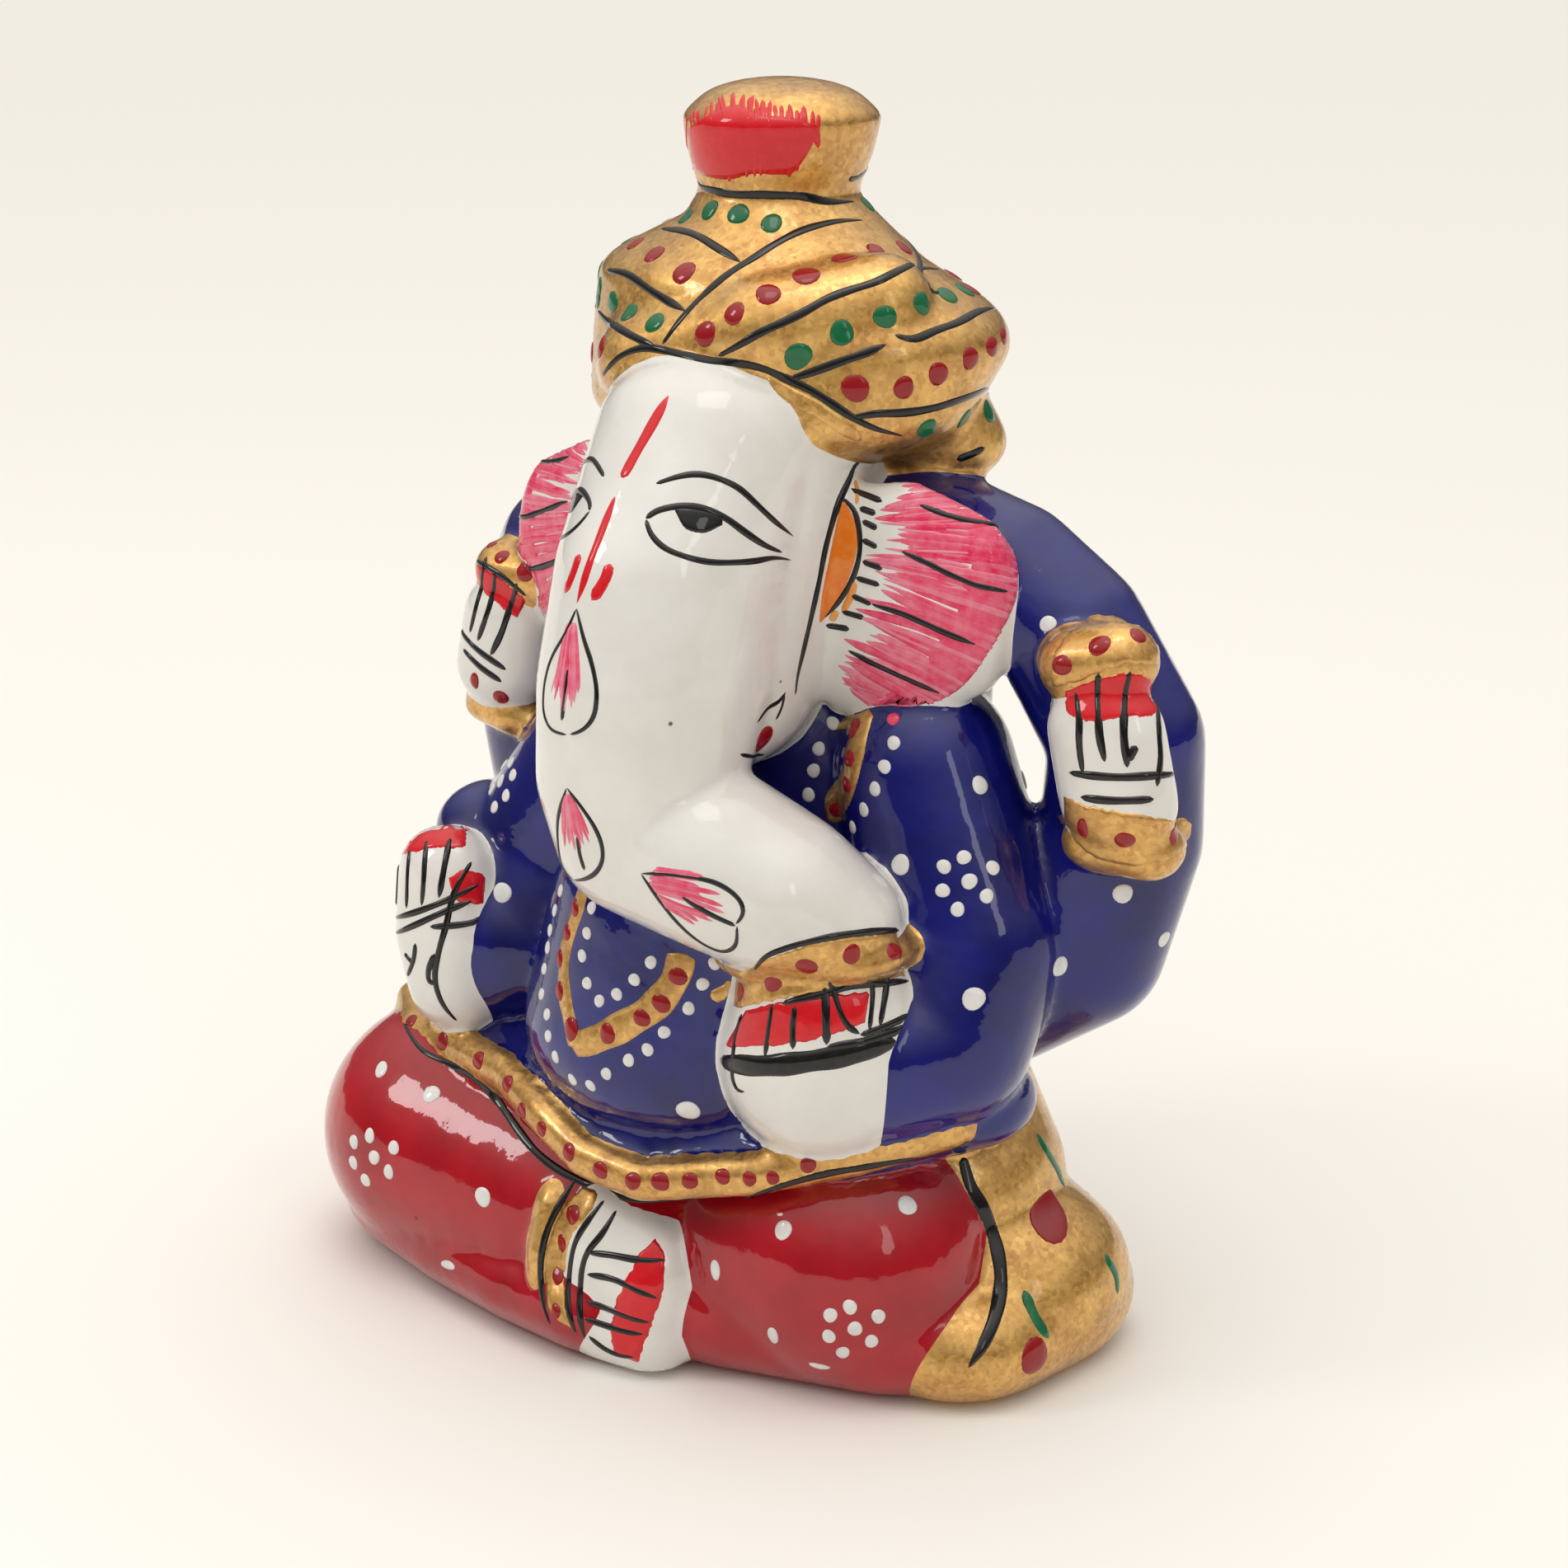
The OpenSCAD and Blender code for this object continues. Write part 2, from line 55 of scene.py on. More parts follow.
# Each member is chains of lumps: x, y, z of a middle, then the half sizes.
# A chain is hulled from lump to lump, and all members are then cast as one skin.
members = {
    "topknot": [[(-1.2, 5, 91.4, 6.1, 6.1, 1.4), (-1, 5, 94.6, 7.2, 7.2, 2), (-0.9, 5, 97, 7.7, 7.6, 2),
        (-0.9, 5, 97.7, 6.8, 6.6, 2.3)]],
    "turban": [[(0, 3.5, 76, 16, 12.5, 5), (0.3, 5.6, 80.5, 17.4, 13.4, 6.6),
        (-1.8, 4.3, 84.7, 14.2, 10.9, 4.5), (-0.8, 5, 89.2, 7.7, 7.5, 2), (-1.2, 5, 90.6, 6.8, 6.8, 1)],
        [(0.3, 9.3, 72.6, 16.2, 8, 5.6), (0, 7, 77, 15, 9, 5)], [(-11, 0.5, 77, 4, 4, 4),
        (-6, -4.2, 79, 5, 4.6, 4.6), (4, -4.2, 82, 5, 4.6, 4.6), (10.5, 1, 84, 4, 4, 4)]],
    "head_and_trunk": [[(0, -1, 73, 10.2, 13, 8), (0, -2, 63, 10.2, 14, 8), (0, -7, 55, 8.2, 12, 7)],
        [(0, -5.6, 74, 9.2, 9, 7), (0, -9.8, 65, 8.8, 11.4, 7.5), (0, -13, 57, 8.6, 10.6, 7.5),
        (0, -16, 50, 7.8, 7.7, 7), (1, -16, 46, 7.4, 7.4, 7), (6, -15.2, 44.3, 7.2, 7.2, 6.8),
        (10.5, -13.5, 42, 6.8, 7, 6.2), (13.6, -11.3, 39.8, 6, 6.4, 4.6)]],
    "ear_left": [[(8.7, -2, 66.6, 3, 2.6, 6), (9.2, -2, 62, 3, 2.6, 9), (15, -1.4, 62.2, 3.4, 2.9, 9.4),
        (19.9, 0, 62.4, 3.2, 2.6, 7)]],
    "torso": [[(0, 5, 26, 22, 10.5, 9), (0, 5, 43, 17.6, 9.5, 9), (0, 6, 55.7, 17.6, 8.5, 9),
        (0, 6, 66, 14.5, 7.5, 6)], [(-2, -6.5, 26, 14.5, 12, 9.5), (-1, -5.5, 36, 13.5, 11, 9)],
        [(-24, -2, 21, 9, 6, 3), (-12, -7, 20.6, 8, 7.4, 3), (-2, -9.2, 19.4, 10, 8, 3),
        (10, -7.4, 20.6, 9, 7.4, 3), (20, -1, 23, 6, 6, 4)]],
    "rear_arm_left": [[(12, 6, 65, 7.2, 7, 6), (18.5, 6, 63.7, 6.6, 6.2, 5.6),
        (24.4, 6, 60.2, 6, 6, 5.2), (29.8, 6, 52, 6.1, 5.5, 6.2), (29.6, 6, 44.6, 6.5, 5.5, 6.75),
        (25.6, 6, 35.4, 7.8, 6.5, 7.4), (18.5, 6, 30, 8, 7, 6.6)]],
    "rear_arm_right": [[(-12, 6, 65, 7.2, 7, 6.4), (-22.3, 6, 60.2, 6.75, 6, 6),
        (-25.9, 6, 53.1, 6.5, 5.5, 6.75), (-25.2, 6, 45, 6.5, 5.5, 6.75), (-22, 6, 36, 7.6, 6.5, 7),
        (-16, 6, 29, 7.75, 7, 6.75)]],
    "front_arm_left": [[(15.2, 1, 48.5, 7, 7, 7.5), (20, -1, 36, 8, 7, 8), (20, -4, 29, 7, 7, 7),
        (16.2, -8, 28, 7, 7, 7)]],
    "front_arm_right": [[(-14, 1, 46.5, 7, 7, 7), (-20, -1, 35, 8, 7, 8), (-20, -4, 29, 7, 7, 7),
        (-21.5, -6, 29, 6, 6, 7)], [(-20, -1, 33, 8, 7, 7), (-25.5, -2, 37, 5.2, 5, 4.2)]],
    "rear_hand_left": [[(32.4, -0.2, 49.4, 4.7, 3.4, 4.2), (31.2, -0.2, 54.6, 4.7, 3.2, 4)]],
    "rear_hand_right": [[(-25.6, -0.2, 51, 4.3, 3.4, 3.8), (-24.8, -0.2, 55.4, 4.2, 3.2, 3.6)]],
    "rear_attribute_left": [[(28.4, 0.4, 59.1, 3, 3.1, 2.9), (31.7, 0.6, 59.8, 3, 3.1, 2.9)]],
    "rear_attribute_right": [[(-21.6, 0.4, 59.2, 3, 3.4, 2.6), (-25, 0.6, 59.4, 3, 3.4, 2.5)]],
    "rear_bangle_left": [[(30.4, 0.6, 45.8, 2.7, 3.1, 2.3), (34.7, 1, 45.6, 2.5, 3.1, 2.3)]],
    "rear_bangle_right": [[(-24.2, 0.6, 46.8, 2.4, 3.1, 2), (-27.6, 1, 47.4, 2.2, 3.1, 2)]],
    "blessing_hand": [[(-24, -9.2, 26, 4.4, 4.4, 4.4), (-24.5, -9.3, 30, 5.2, 4.2, 4.6),
        (-24.9, -9, 34.6, 4.7, 3.7, 4.6)]],
    "cupped_hand": [[(12.9, -10.5, 28.2, 8.4, 7.5, 8.2), (13.2, -10.3, 34, 7.2, 6.6, 4)],
        [(16.2, -8, 27, 5, 5, 5), (18.2, -6.5, 28, 4.6, 4.6, 5)]],
    "sweet_bowl": [[(9.8, -11.2, 36.4, 4.3, 6, 1.9), (16.3, -10.2, 37.7, 4.4, 5.9, 1.9)]],
    "right_leg": [[(-26.8, -5.6, 10.4, 12.6, 12.2, 11.6), (-13, -8.7, 9, 12, 9.7, 10),
        (-4, -9, 8.5, 9, 8.5, 9.4)], [(-28, -4.2, 4, 11.2, 10.6, 6), (-20, -6, 4, 11, 11.7, 6),
        (-13, -8, 4, 10, 11.4, 6), (-6, -9, 4, 9, 11.4, 6)]],
    "left_leg": [[(12.5, -5, 9.5, 11.5, 11.5, 11.5), (7, -6, 9, 10, 10, 10.5), (0, -4, 9, 10, 9, 10)],
        [(15, -4, 5, 11, 9.8, 7), (4, -6.6, 5, 9, 10, 7)]],
    "foot": [[(-4.8, -14.4, 7.8, 3.8, 4.5, 7.1), (0.4, -14.7, 6.4, 4, 4.5, 6.6)],
        [(-3.6, -15.4, 3.4, 4.4, 4.4, 4), (0, -15.4, 3.2, 4, 4, 4)]],
    "anklet": [[(-8.6, -14.8, 12, 1.8, 3.6, 2.6), (-8.8, -15.8, 8, 1.8, 3.8, 4),
        (-8.2, -15.8, 4, 1.8, 3.8, 3.4)]],
    "drape": [[(23.2, 4.5, 5.8, 8.2, 9.7, 7.4), (14, 3, 9, 9, 13, 9.5), (-12, 6, 9, 12, 11, 10),
        (-27, 6, 8.5, 9, 9.5, 8.5)], [(21, -1.5, 4, 8.8, 9.8, 6), (23.2, 5.5, 4, 8, 10, 6)],
        [(19, 4, 13, 6.4, 9, 8), (14, 5, 20, 7.6, 9.5, 5), (-14, 5, 21, 9, 9.5, 5),
        (-27, 5, 14, 8, 8, 7)]],
    "waist_hem": [[(-33.5, -4.5, 20.4, 1.4, 1.4, 1.7), (-29, -9, 20.2, 1.4, 1.4, 1.7),
        (-22.5, -11, 20.4, 1.4, 1.4, 1.7), (-16, -13.2, 20.6, 1.4, 1.4, 1.7),
        (-10, -16.2, 19.6, 1.4, 1.4, 1.7), (-4.6, -17.8, 17.8, 1.4, 1.4, 1.7),
        (1.1, -18, 17.3, 1.4, 1.4, 1.7), (10, -15.6, 19.2, 1.4, 1.4, 1.7),
        (17, -12, 21.2, 1.4, 1.4, 1.7), (22.4, -6.8, 22.6, 1.1, 1.1, 1.4), (24.6, -1, 24, 1, 1, 1.2)]],
}
members["ear_right"] = [[(-x, y, z, rx, ry, rz) for x, y, z, rx, ry, rz in chain]
    for chain in members["ear_left"]]


def castSkin(voxel, smoothing):
    bm = bmesh.new()
    for chains in members.values():
        for chain in chains:
            for first, second in zip(chain, chain[1:]):
                part = bmesh.new()
                for x, y, z, rx, ry, rz in (first, second):
                    place = Matrix.Translation((x, y, z)) @ Matrix.Diagonal((rx, ry, rz, 1))
                    bmesh.ops.create_uvsphere(part, u_segments=44, v_segments=28, radius=1, matrix=place)
                hull = bmesh.ops.convex_hull(part, input=part.verts[:])
                spare = {item for item in hull["geom_interior"] + hull["geom_unused"]
                         if isinstance(item, bmesh.types.BMVert)}
                bmesh.ops.delete(part, geom=list(spare), context="VERTS")
                piece = bpy.data.meshes.new("lump")
                part.to_mesh(piece)
                part.free()
                bm.from_mesh(piece)
                bpy.data.meshes.remove(piece)
    rough = bpy.data.meshes.new("casting")
    bm.to_mesh(rough)
    bm.free()
    caster = bpy.data.objects.new("casting", rough)
    bpy.context.scene.collection.objects.link(caster)
    remesh = caster.modifiers.new("cast", "REMESH")
    remesh.mode = "VOXEL"
    remesh.voxel_size = voxel
    smooth = caster.modifiers.new("fettle", "SMOOTH")
    smooth.factor = 0.5
    smooth.iterations = smoothing
    graph = bpy.context.evaluated_depsgraph_get()
    cast = bmesh.new()
    cast.from_mesh(caster.evaluated_get(graph).to_mesh())
    bpy.data.objects.remove(caster)
    bmesh.ops.bisect_plane(cast, geom=cast.verts[:] + cast.edges[:] + cast.faces[:],
                           plane_co=(0, 0, rimZ), plane_no=(0, 0, 1), clear_inner=True)
    bmesh.ops.holes_fill(cast, edges=[e for e in cast.edges if e.is_boundary])
    bmesh.ops.triangulate(cast, faces=cast.faces[:])
    return cast


def memberDistance(points, chains):
    best = np.full(len(points), 1e9)
    for chain in chains:
        for first, second in zip(chain, chain[1:]):
            for t in np.linspace(0, 1, 6):
                lump = np.array(first) * (1 - t) + np.array(second) * t
                offset = points - lump[:3]
                k = np.linalg.norm(offset / lump[3:], axis=1)
                slope = np.linalg.norm(offset / lump[3:] ** 2, axis=1)
                best = np.minimum(best, k * (k - 1) / np.maximum(slope, 1e-6))
    return best


skin = castSkin(voxel=0.42, smoothing=9)
memberNames = list(members)
places = np.array([vert.co for vert in skin.verts])
reach = np.stack([memberDistance(places, members[name]) for name in memberNames], axis=1)
print("casting skinned:", len(skin.faces), "faces")


def nearestMembers(bm, reach):
    # cut every triangle that two members share along the line where they are equally near
    rowOf = bm.verts.layers.int.new("row")
    owner = reach.argmin(axis=1)
    rows = list(reach)
    for row, vert in enumerate(bm.verts):
        vert[rowOf] = row
    crossing = [e for e in bm.edges if owner[e.verts[0][rowOf]] != owner[e.verts[1][rowOf]]]
    touched = {face for e in crossing for face in e.link_faces}
    fresh = set()
    for e in crossing:
        near, far = e.verts
        one, two = owner[near[rowOf]], owner[far[rowOf]]
        start = rows[near[rowOf]][one] - rows[near[rowOf]][two]
        stop = rows[far[rowOf]][one] - rows[far[rowOf]][two]
        share = min(max(start / (start - stop), 0.03), 0.97)
        row = rows[near[rowOf]] * (1 - share) + rows[far[rowOf]] * share
        middle = bmesh.utils.edge_split(e, near, share)[1]
        middle[rowOf] = len(rows)
        rows.append(row)
        fresh.add(middle)
    for face in touched:
        pair = [vert for vert in face.verts if vert in fresh]
        if len(pair) == 2:
            bmesh.utils.face_split(face, pair[0], pair[1])
    bmesh.ops.triangulate(bm, faces=[face for face in bm.faces if len(face.verts) > 3])
    for face in bm.faces:
        corners = [vert[rowOf] for vert in face.verts if vert not in fresh]
        if not corners:
            corners = [vert[rowOf] for vert in face.verts]
        face.material_index = int(np.mean([rows[corner] for corner in corners], axis=0).argmin())
    bm.verts.index_update()
    bm.faces.index_update()


nearestMembers(skin, reach)
print("members parted")


def toModel(x, y, z):
    return Vector((axisX + x * mm, axisY + y * mm, z * mm))


finishes = {}


def newFinish(name):
    finish = bpy.data.materials.new(name)
    finish.use_nodes = True
    finishes[name] = finish
    tree = finish.node_tree
    return finish, tree, tree.nodes["Principled BSDF"]


def addNode(tree, kind, **settings):
    node = tree.nodes.new(kind)
    for key, value in settings.items():
        if hasattr(node, key):
            setattr(node, key, value)
        else:
            node.inputs[key.replace("_", " ")].default_value = value
    return node


def makeGroup(name, inputs, outputs):
    group = bpy.data.node_groups.new(name, "ShaderNodeTree")
    for label, kind, value in inputs:
        socket = group.interface.new_socket(label, in_out="INPUT", socket_type=kind)
        socket.default_value = value
    for label, kind in outputs:
        group.interface.new_socket(label, in_out="OUTPUT", socket_type=kind)
    return group, group.nodes.new("NodeGroupInput"), group.nodes.new("NodeGroupOutput")


def enamelGroup():
    # brushed enamel: slow shifts of tone, a few dust specks, and the ripple of the lacquer on top
    group, given, put = makeGroup("brushedEnamel", [
        ("Light", "NodeSocketColor", (0.8, 0.8, 0.8, 1)), ("Dark", "NodeSocketColor", (0.7, 0.7, 0.7, 1)),
        ("Speck", "NodeSocketColor", (0.1, 0.08, 0.07, 1)), ("Specks", "NodeSocketFloat", 0.03)],
        [("Color", "NodeSocketColor"), ("Roughness", "NodeSocketFloat"), ("Normal", "NodeSocketVector")])
    link = group.links.new
    place = group.nodes.new("ShaderNodeTexCoord")
    cloud = addNode(group, "ShaderNodeTexNoise", Scale=140.0, Detail=5.0, Roughness=0.6)
    link(place.outputs["Object"], cloud.inputs["Vector"])
    spread = addNode(group, "ShaderNodeMapRange", From_Min=0.35, From_Max=0.65)
    link(cloud.outputs["Fac"], spread.inputs["Value"])
    tone = addNode(group, "ShaderNodeMix", data_type="RGBA")
    link(spread.outputs["Result"], tone.inputs["Factor"])
    link(given.outputs["Dark"], tone.inputs["A"])
    link(given.outputs["Light"], tone.inputs["B"])
    dust = addNode(group, "ShaderNodeTexVoronoi", Scale=420.0, Randomness=1.0)
    link(place.outputs["Object"], dust.inputs["Vector"])
    pick = addNode(group, "ShaderNodeSeparateColor")
    link(dust.outputs["Color"], pick.inputs["Color"])
    chosen = addNode(group, "ShaderNodeMath", operation="LESS_THAN")
    link(pick.outputs["Red"], chosen.inputs[0])
    link(given.outputs["Specks"], chosen.inputs[1])
    near = addNode(group, "ShaderNodeMapRange", From_Min=0.05, From_Max=0.09, To_Min=1.0, To_Max=0.0)
    link(dust.outputs["Distance"], near.inputs["Value"])
    mask = addNode(group, "ShaderNodeMath", operation="MULTIPLY")
    link(chosen.outputs["Value"], mask.inputs[0])
    link(near.outputs["Result"], mask.inputs[1])
    specked = addNode(group, "ShaderNodeMix", data_type="RGBA")
    link(mask.outputs["Value"], specked.inputs["Factor"])
    link(tone.outputs["Result"], specked.inputs["A"])
    link(given.outputs["Speck"], specked.inputs["B"])
    link(specked.outputs["Result"], put.inputs["Color"])
    gloss = addNode(group, "ShaderNodeMapRange", To_Min=0.16, To_Max=0.30)
    link(cloud.outputs["Fac"], gloss.inputs["Value"])
    link(gloss.outputs["Result"], put.inputs["Roughness"])
    swell = addNode(group, "ShaderNodeTexNoise", Scale=260.0, Detail=2.0, Roughness=0.45)
    link(place.outputs["Object"], swell.inputs["Vector"])
    grain = addNode(group, "ShaderNodeTexNoise", Scale=1500.0, Detail=2.0)
    link(place.outputs["Object"], grain.inputs["Vector"])
    both = addNode(group, "ShaderNodeMath", operation="MULTIPLY_ADD")
    both.inputs[1].default_value = 0.06
    link(grain.outputs["Fac"], both.inputs[0])
    link(swell.outputs["Fac"], both.inputs[2])
    pit = addNode(group, "ShaderNodeMath", operation="MULTIPLY_ADD")
    pit.inputs[1].default_value = -0.12
    link(mask.outputs["Value"], pit.inputs[0])
    link(both.outputs["Value"], pit.inputs[2])
    bump = addNode(group, "ShaderNodeBump", Strength=0.14, Distance=0.0009)
    link(pit.outputs["Value"], bump.inputs["Height"])
    link(bump.outputs["Normal"], put.inputs["Normal"])
    return group


enamelNodes = enamelGroup()


def enamel(name, light, dark, speck=(0.1, 0.08, 0.07), specks=0.03):
    finish, tree, shader = newFinish(name)
    mix = tree.nodes.new("ShaderNodeGroup")
    mix.node_tree = enamelNodes
    for label, color in (("Light", light), ("Dark", dark), ("Speck", speck)):
        mix.inputs[label].default_value = (*color, 1)
    mix.inputs["Specks"].default_value = specks
    tree.links.new(mix.outputs["Color"], shader.inputs["Base Color"])
    tree.links.new(mix.outputs["Roughness"], shader.inputs["Roughness"])
    tree.links.new(mix.outputs["Normal"], shader.inputs["Normal"])
    tree.links.new(mix.outputs["Normal"], shader.inputs["Coat Normal"])
    shader.inputs["Specular IOR Level"].default_value = 0.1
    shader.inputs["Coat Weight"].default_value = 1.0
    shader.inputs["Coat Roughness"].default_value = 0.03
    shader.inputs["Coat IOR"].default_value = 1.5
    return finish


def goldPaint(name, bright, deep, shine):
    # leafy metal flakes in a binder, a little pitted, with the lacquer over them
    finish, tree, shader = newFinish(name)
    link = tree.links.new
    place = tree.nodes.new("ShaderNodeTexCoord")
    flake = addNode(tree, "ShaderNodeTexVoronoi", Scale=2600.0)
    link(place.outputs["Object"], flake.inputs["Vector"])
    split = tree.nodes.new("ShaderNodeSeparateColor")
    link(flake.outputs["Color"], split.inputs["Color"])
    patch = addNode(tree, "ShaderNodeTexNoise", Scale=330.0, Detail=6.0, Roughness=0.65)
    link(place.outputs["Object"], patch.inputs["Vector"])
    share = addNode(tree, "ShaderNodeMapRange", From_Min=0.36, From_Max=0.68)
    link(patch.outputs["Fac"], share.inputs["Value"])
    mixed = addNode(tree, "ShaderNodeMath", operation="MULTIPLY_ADD", use_clamp=True)
    mixed.inputs[1].default_value = 0.45
    link(split.outputs["Red"], mixed.inputs[0])
    half = addNode(tree, "ShaderNodeMath", operation="MULTIPLY")
    half.inputs[1].default_value = 0.6
    link(share.outputs["Result"], half.inputs[0])
    link(half.outputs["Value"], mixed.inputs[2])
    color = addNode(tree, "ShaderNodeMix", data_type="RGBA")
    link(mixed.outputs["Value"], color.inputs["Factor"])
    color.inputs["A"].default_value = (*deep, 1)
    color.inputs["B"].default_value = (*bright, 1)
    link(color.outputs["Result"], shader.inputs["Base Color"])
    rough = addNode(tree, "ShaderNodeMapRange", To_Min=0.30, To_Max=0.52)
    link(split.outputs["Green"], rough.inputs["Value"])
    link(rough.outputs["Result"], shader.inputs["Roughness"])
    shader.inputs["Metallic"].default_value = shine
    bump = addNode(tree, "ShaderNodeBump", Strength=0.35, Distance=0.00012)
    height = addNode(tree, "ShaderNodeMath", operation="ADD")
    link(split.outputs["Blue"], height.inputs[0])
    link(patch.outputs["Fac"], height.inputs[1])
    link(height.outputs["Value"], bump.inputs["Height"])
    link(bump.outputs["Normal"], shader.inputs["Normal"])
    shader.inputs["Coat Weight"].default_value = 0.7
    shader.inputs["Coat Roughness"].default_value = 0.06
    return finish


enamel("whiteEnamel", (0.83, 0.81, 0.77), (0.76, 0.735, 0.69), specks=0.035)
enamel("blueEnamel", (0.007, 0.009, 0.19), (0.004, 0.005, 0.10), speck=(0.02, 0.02, 0.05), specks=0.01)
enamel("redEnamel", (0.46, 0.006, 0.016), (0.33, 0.004, 0.010), speck=(0.05, 0.01, 0.01), specks=0.03)
goldPaint("goldPaint", (0.86, 0.52, 0.15), (0.46, 0.22, 0.05), 0.8)


def felt():
    finish, tree, shader = newFinish("blackFelt")
    place = tree.nodes.new("ShaderNodeTexCoord")
    fibre = addNode(tree, "ShaderNodeTexNoise", Scale=1800.0, Detail=6.0)
    tree.links.new(place.outputs["Object"], fibre.inputs["Vector"])
    ramp = addNode(tree, "ShaderNodeMix", data_type="RGBA")
    tree.links.new(fibre.outputs["Fac"], ramp.inputs["Factor"])
    ramp.inputs["A"].default_value = (0.02, 0.022, 0.02, 1)
    ramp.inputs["B"].default_value = (0.07, 0.08, 0.07, 1)
    tree.links.new(ramp.outputs["Result"], shader.inputs["Base Color"])
    bump = addNode(tree, "ShaderNodeBump", Strength=0.8, Distance=0.0003)
    tree.links.new(fibre.outputs["Fac"], bump.inputs["Height"])
    tree.links.new(bump.outputs["Normal"], shader.inputs["Normal"])
    shader.inputs["Roughness"].default_value = 0.95
    shader.inputs["Sheen Weight"].default_value = 0.4
    return finish


def sheetMetal():
    finish, tree, shader = newFinish("sheetMetal")
    place = tree.nodes.new("ShaderNodeTexCoord")
    stretch = addNode(tree, "ShaderNodeMapping")
    stretch.inputs["Scale"].default_value = (60, 3000, 3000)
    tree.links.new(place.outputs["Object"], stretch.inputs["Vector"])
    brush = addNode(tree, "ShaderNodeTexNoise", Scale=1.0, Detail=4.0)
    tree.links.new(stretch.outputs["Vector"], brush.inputs["Vector"])
    rough = addNode(tree, "ShaderNodeMapRange", To_Min=0.28, To_Max=0.5)
    tree.links.new(brush.outputs["Fac"], rough.inputs["Value"])
    tree.links.new(rough.outputs["Result"], shader.inputs["Roughness"])
    shader.inputs["Base Color"].default_value = (0.72, 0.72, 0.74, 1)
    shader.inputs["Metallic"].default_value = 1.0
    return finish


felt()
sheetMetal()
for nodeName, finishName in (("felt_pad", "blackFelt"), ("base_cover", "sheetMetal")):
    for slot in bpy.data.objects[nodeName].material_slots if nodeName in bpy.data.objects else []:
        slot.material = finishes[finishName]

# which finish each member is enamelled in, and the record's slot for it
memberFinish = {}
for finishName, slotName, names in (
        ("goldPaint", "gold_paint", "topknot turban drape waist_hem anklet sweet_bowl rear_attribute_left"
         " rear_attribute_right rear_bangle_left rear_bangle_right"),
        ("whiteEnamel", "white_enamel", "head_and_trunk foot blessing_hand cupped_hand rear_hand_left"
         " rear_hand_right"),
        ("whiteEnamel", "pink_enamel", "ear_left ear_right"),
        ("blueEnamel", "blue_enamel", "torso front_arm_left front_arm_right rear_arm_left rear_arm_right"),
        ("redEnamel", "red_enamel", "right_leg left_leg")):
    for name in names.split():
        memberFinish[name] = finishName, slotName


def finishPiece(bm, name, finishName, slotName, node=None):
    for vert in bm.verts:
        vert.co = toModel(*vert.co)
    mesh = bpy.data.meshes.new(name)
    bm.to_mesh(mesh)
    bm.free()
    mesh.materials.append(finishes[finishName])
    piece = bpy.data.objects.new(name, mesh)
    bpy.context.scene.collection.objects.link(piece)
    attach(piece, "root")
    if node:
        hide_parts(node)
    return piece


def shellOf(name, wall):
    # one member's faces, thickened inwards so that each enamelled member is a closed shell
    index = memberNames.index(name)
    bm = skin.copy()
    others = [face for face in bm.faces if face.material_index != index]
    bmesh.ops.delete(bm, geom=others, context="FACES")
    bm.normal_update()
    outer = bm.faces[:]
    inward = {vert: vert.co - vert.normal * wall for vert in bm.verts}
    grown = bmesh.ops.extrude_face_region(bm, geom=outer, use_keep_orig=True)
    top = {item for item in grown["geom"] if isinstance(item, bmesh.types.BMFace)}
    for vert, target in inward.items():
        vert.co = target
    bmesh.ops.reverse_faces(bm, faces=outer)
    for face in bm.faces:
        face.smooth = True
        face.material_index = 0
    for edge in bm.edges:
        sides = [face in top for face in edge.link_faces]
        edge.smooth = not (any(sides) and not all(sides))
    return bm


for name in memberNames:
    finishName, slotName = memberFinish[name]
    finishPiece(shellOf(name, wall=0.5), name + "_shell", finishName, slotName, name)
print("members shelled")


def paintGroup():
    # hand paint: thick where the brush was loaded, thin and streaky where it ran dry
    group, given, put = makeGroup("handPaint", [
        ("Thick", "NodeSocketColor", (0.5, 0, 0, 1)), ("Thin", "NodeSocketColor", (0.7, 0.2, 0.2, 1))],
        [("Color", "NodeSocketColor"), ("Normal", "NodeSocketVector")])
    link = group.links.new
    place = group.nodes.new("ShaderNodeTexCoord")
    dryness = addNode(group, "ShaderNodeAttribute", attribute_name="thin")
    blotch = addNode(group, "ShaderNodeTexNoise", Scale=900.0, Detail=4.0, Roughness=0.6)
    link(place.outputs["Object"], blotch.inputs["Vector"])
    add = addNode(group, "ShaderNodeMath", operation="ADD")
    link(dryness.outputs["Fac"], add.inputs[0])
    link(blotch.outputs["Fac"], add.inputs[1])
    spread = addNode(group, "ShaderNodeMapRange", From_Min=0.45, From_Max=1.15)
    link(add.outputs["Value"], spread.inputs["Value"])
    tone = addNode(group, "ShaderNodeMix", data_type="RGBA")
    link(spread.outputs["Result"], tone.inputs["Factor"])
    link(given.outputs["Thick"], tone.inputs["A"])
    link(given.outputs["Thin"], tone.inputs["B"])
    link(tone.outputs["Result"], put.inputs["Color"])
    bump = addNode(group, "ShaderNodeBump", Strength=0.12, Distance=0.0003)
    link(blotch.outputs["Fac"], bump.inputs["Height"])
    link(bump.outputs["Normal"], put.inputs["Normal"])
    return group


paintNodes = paintGroup()


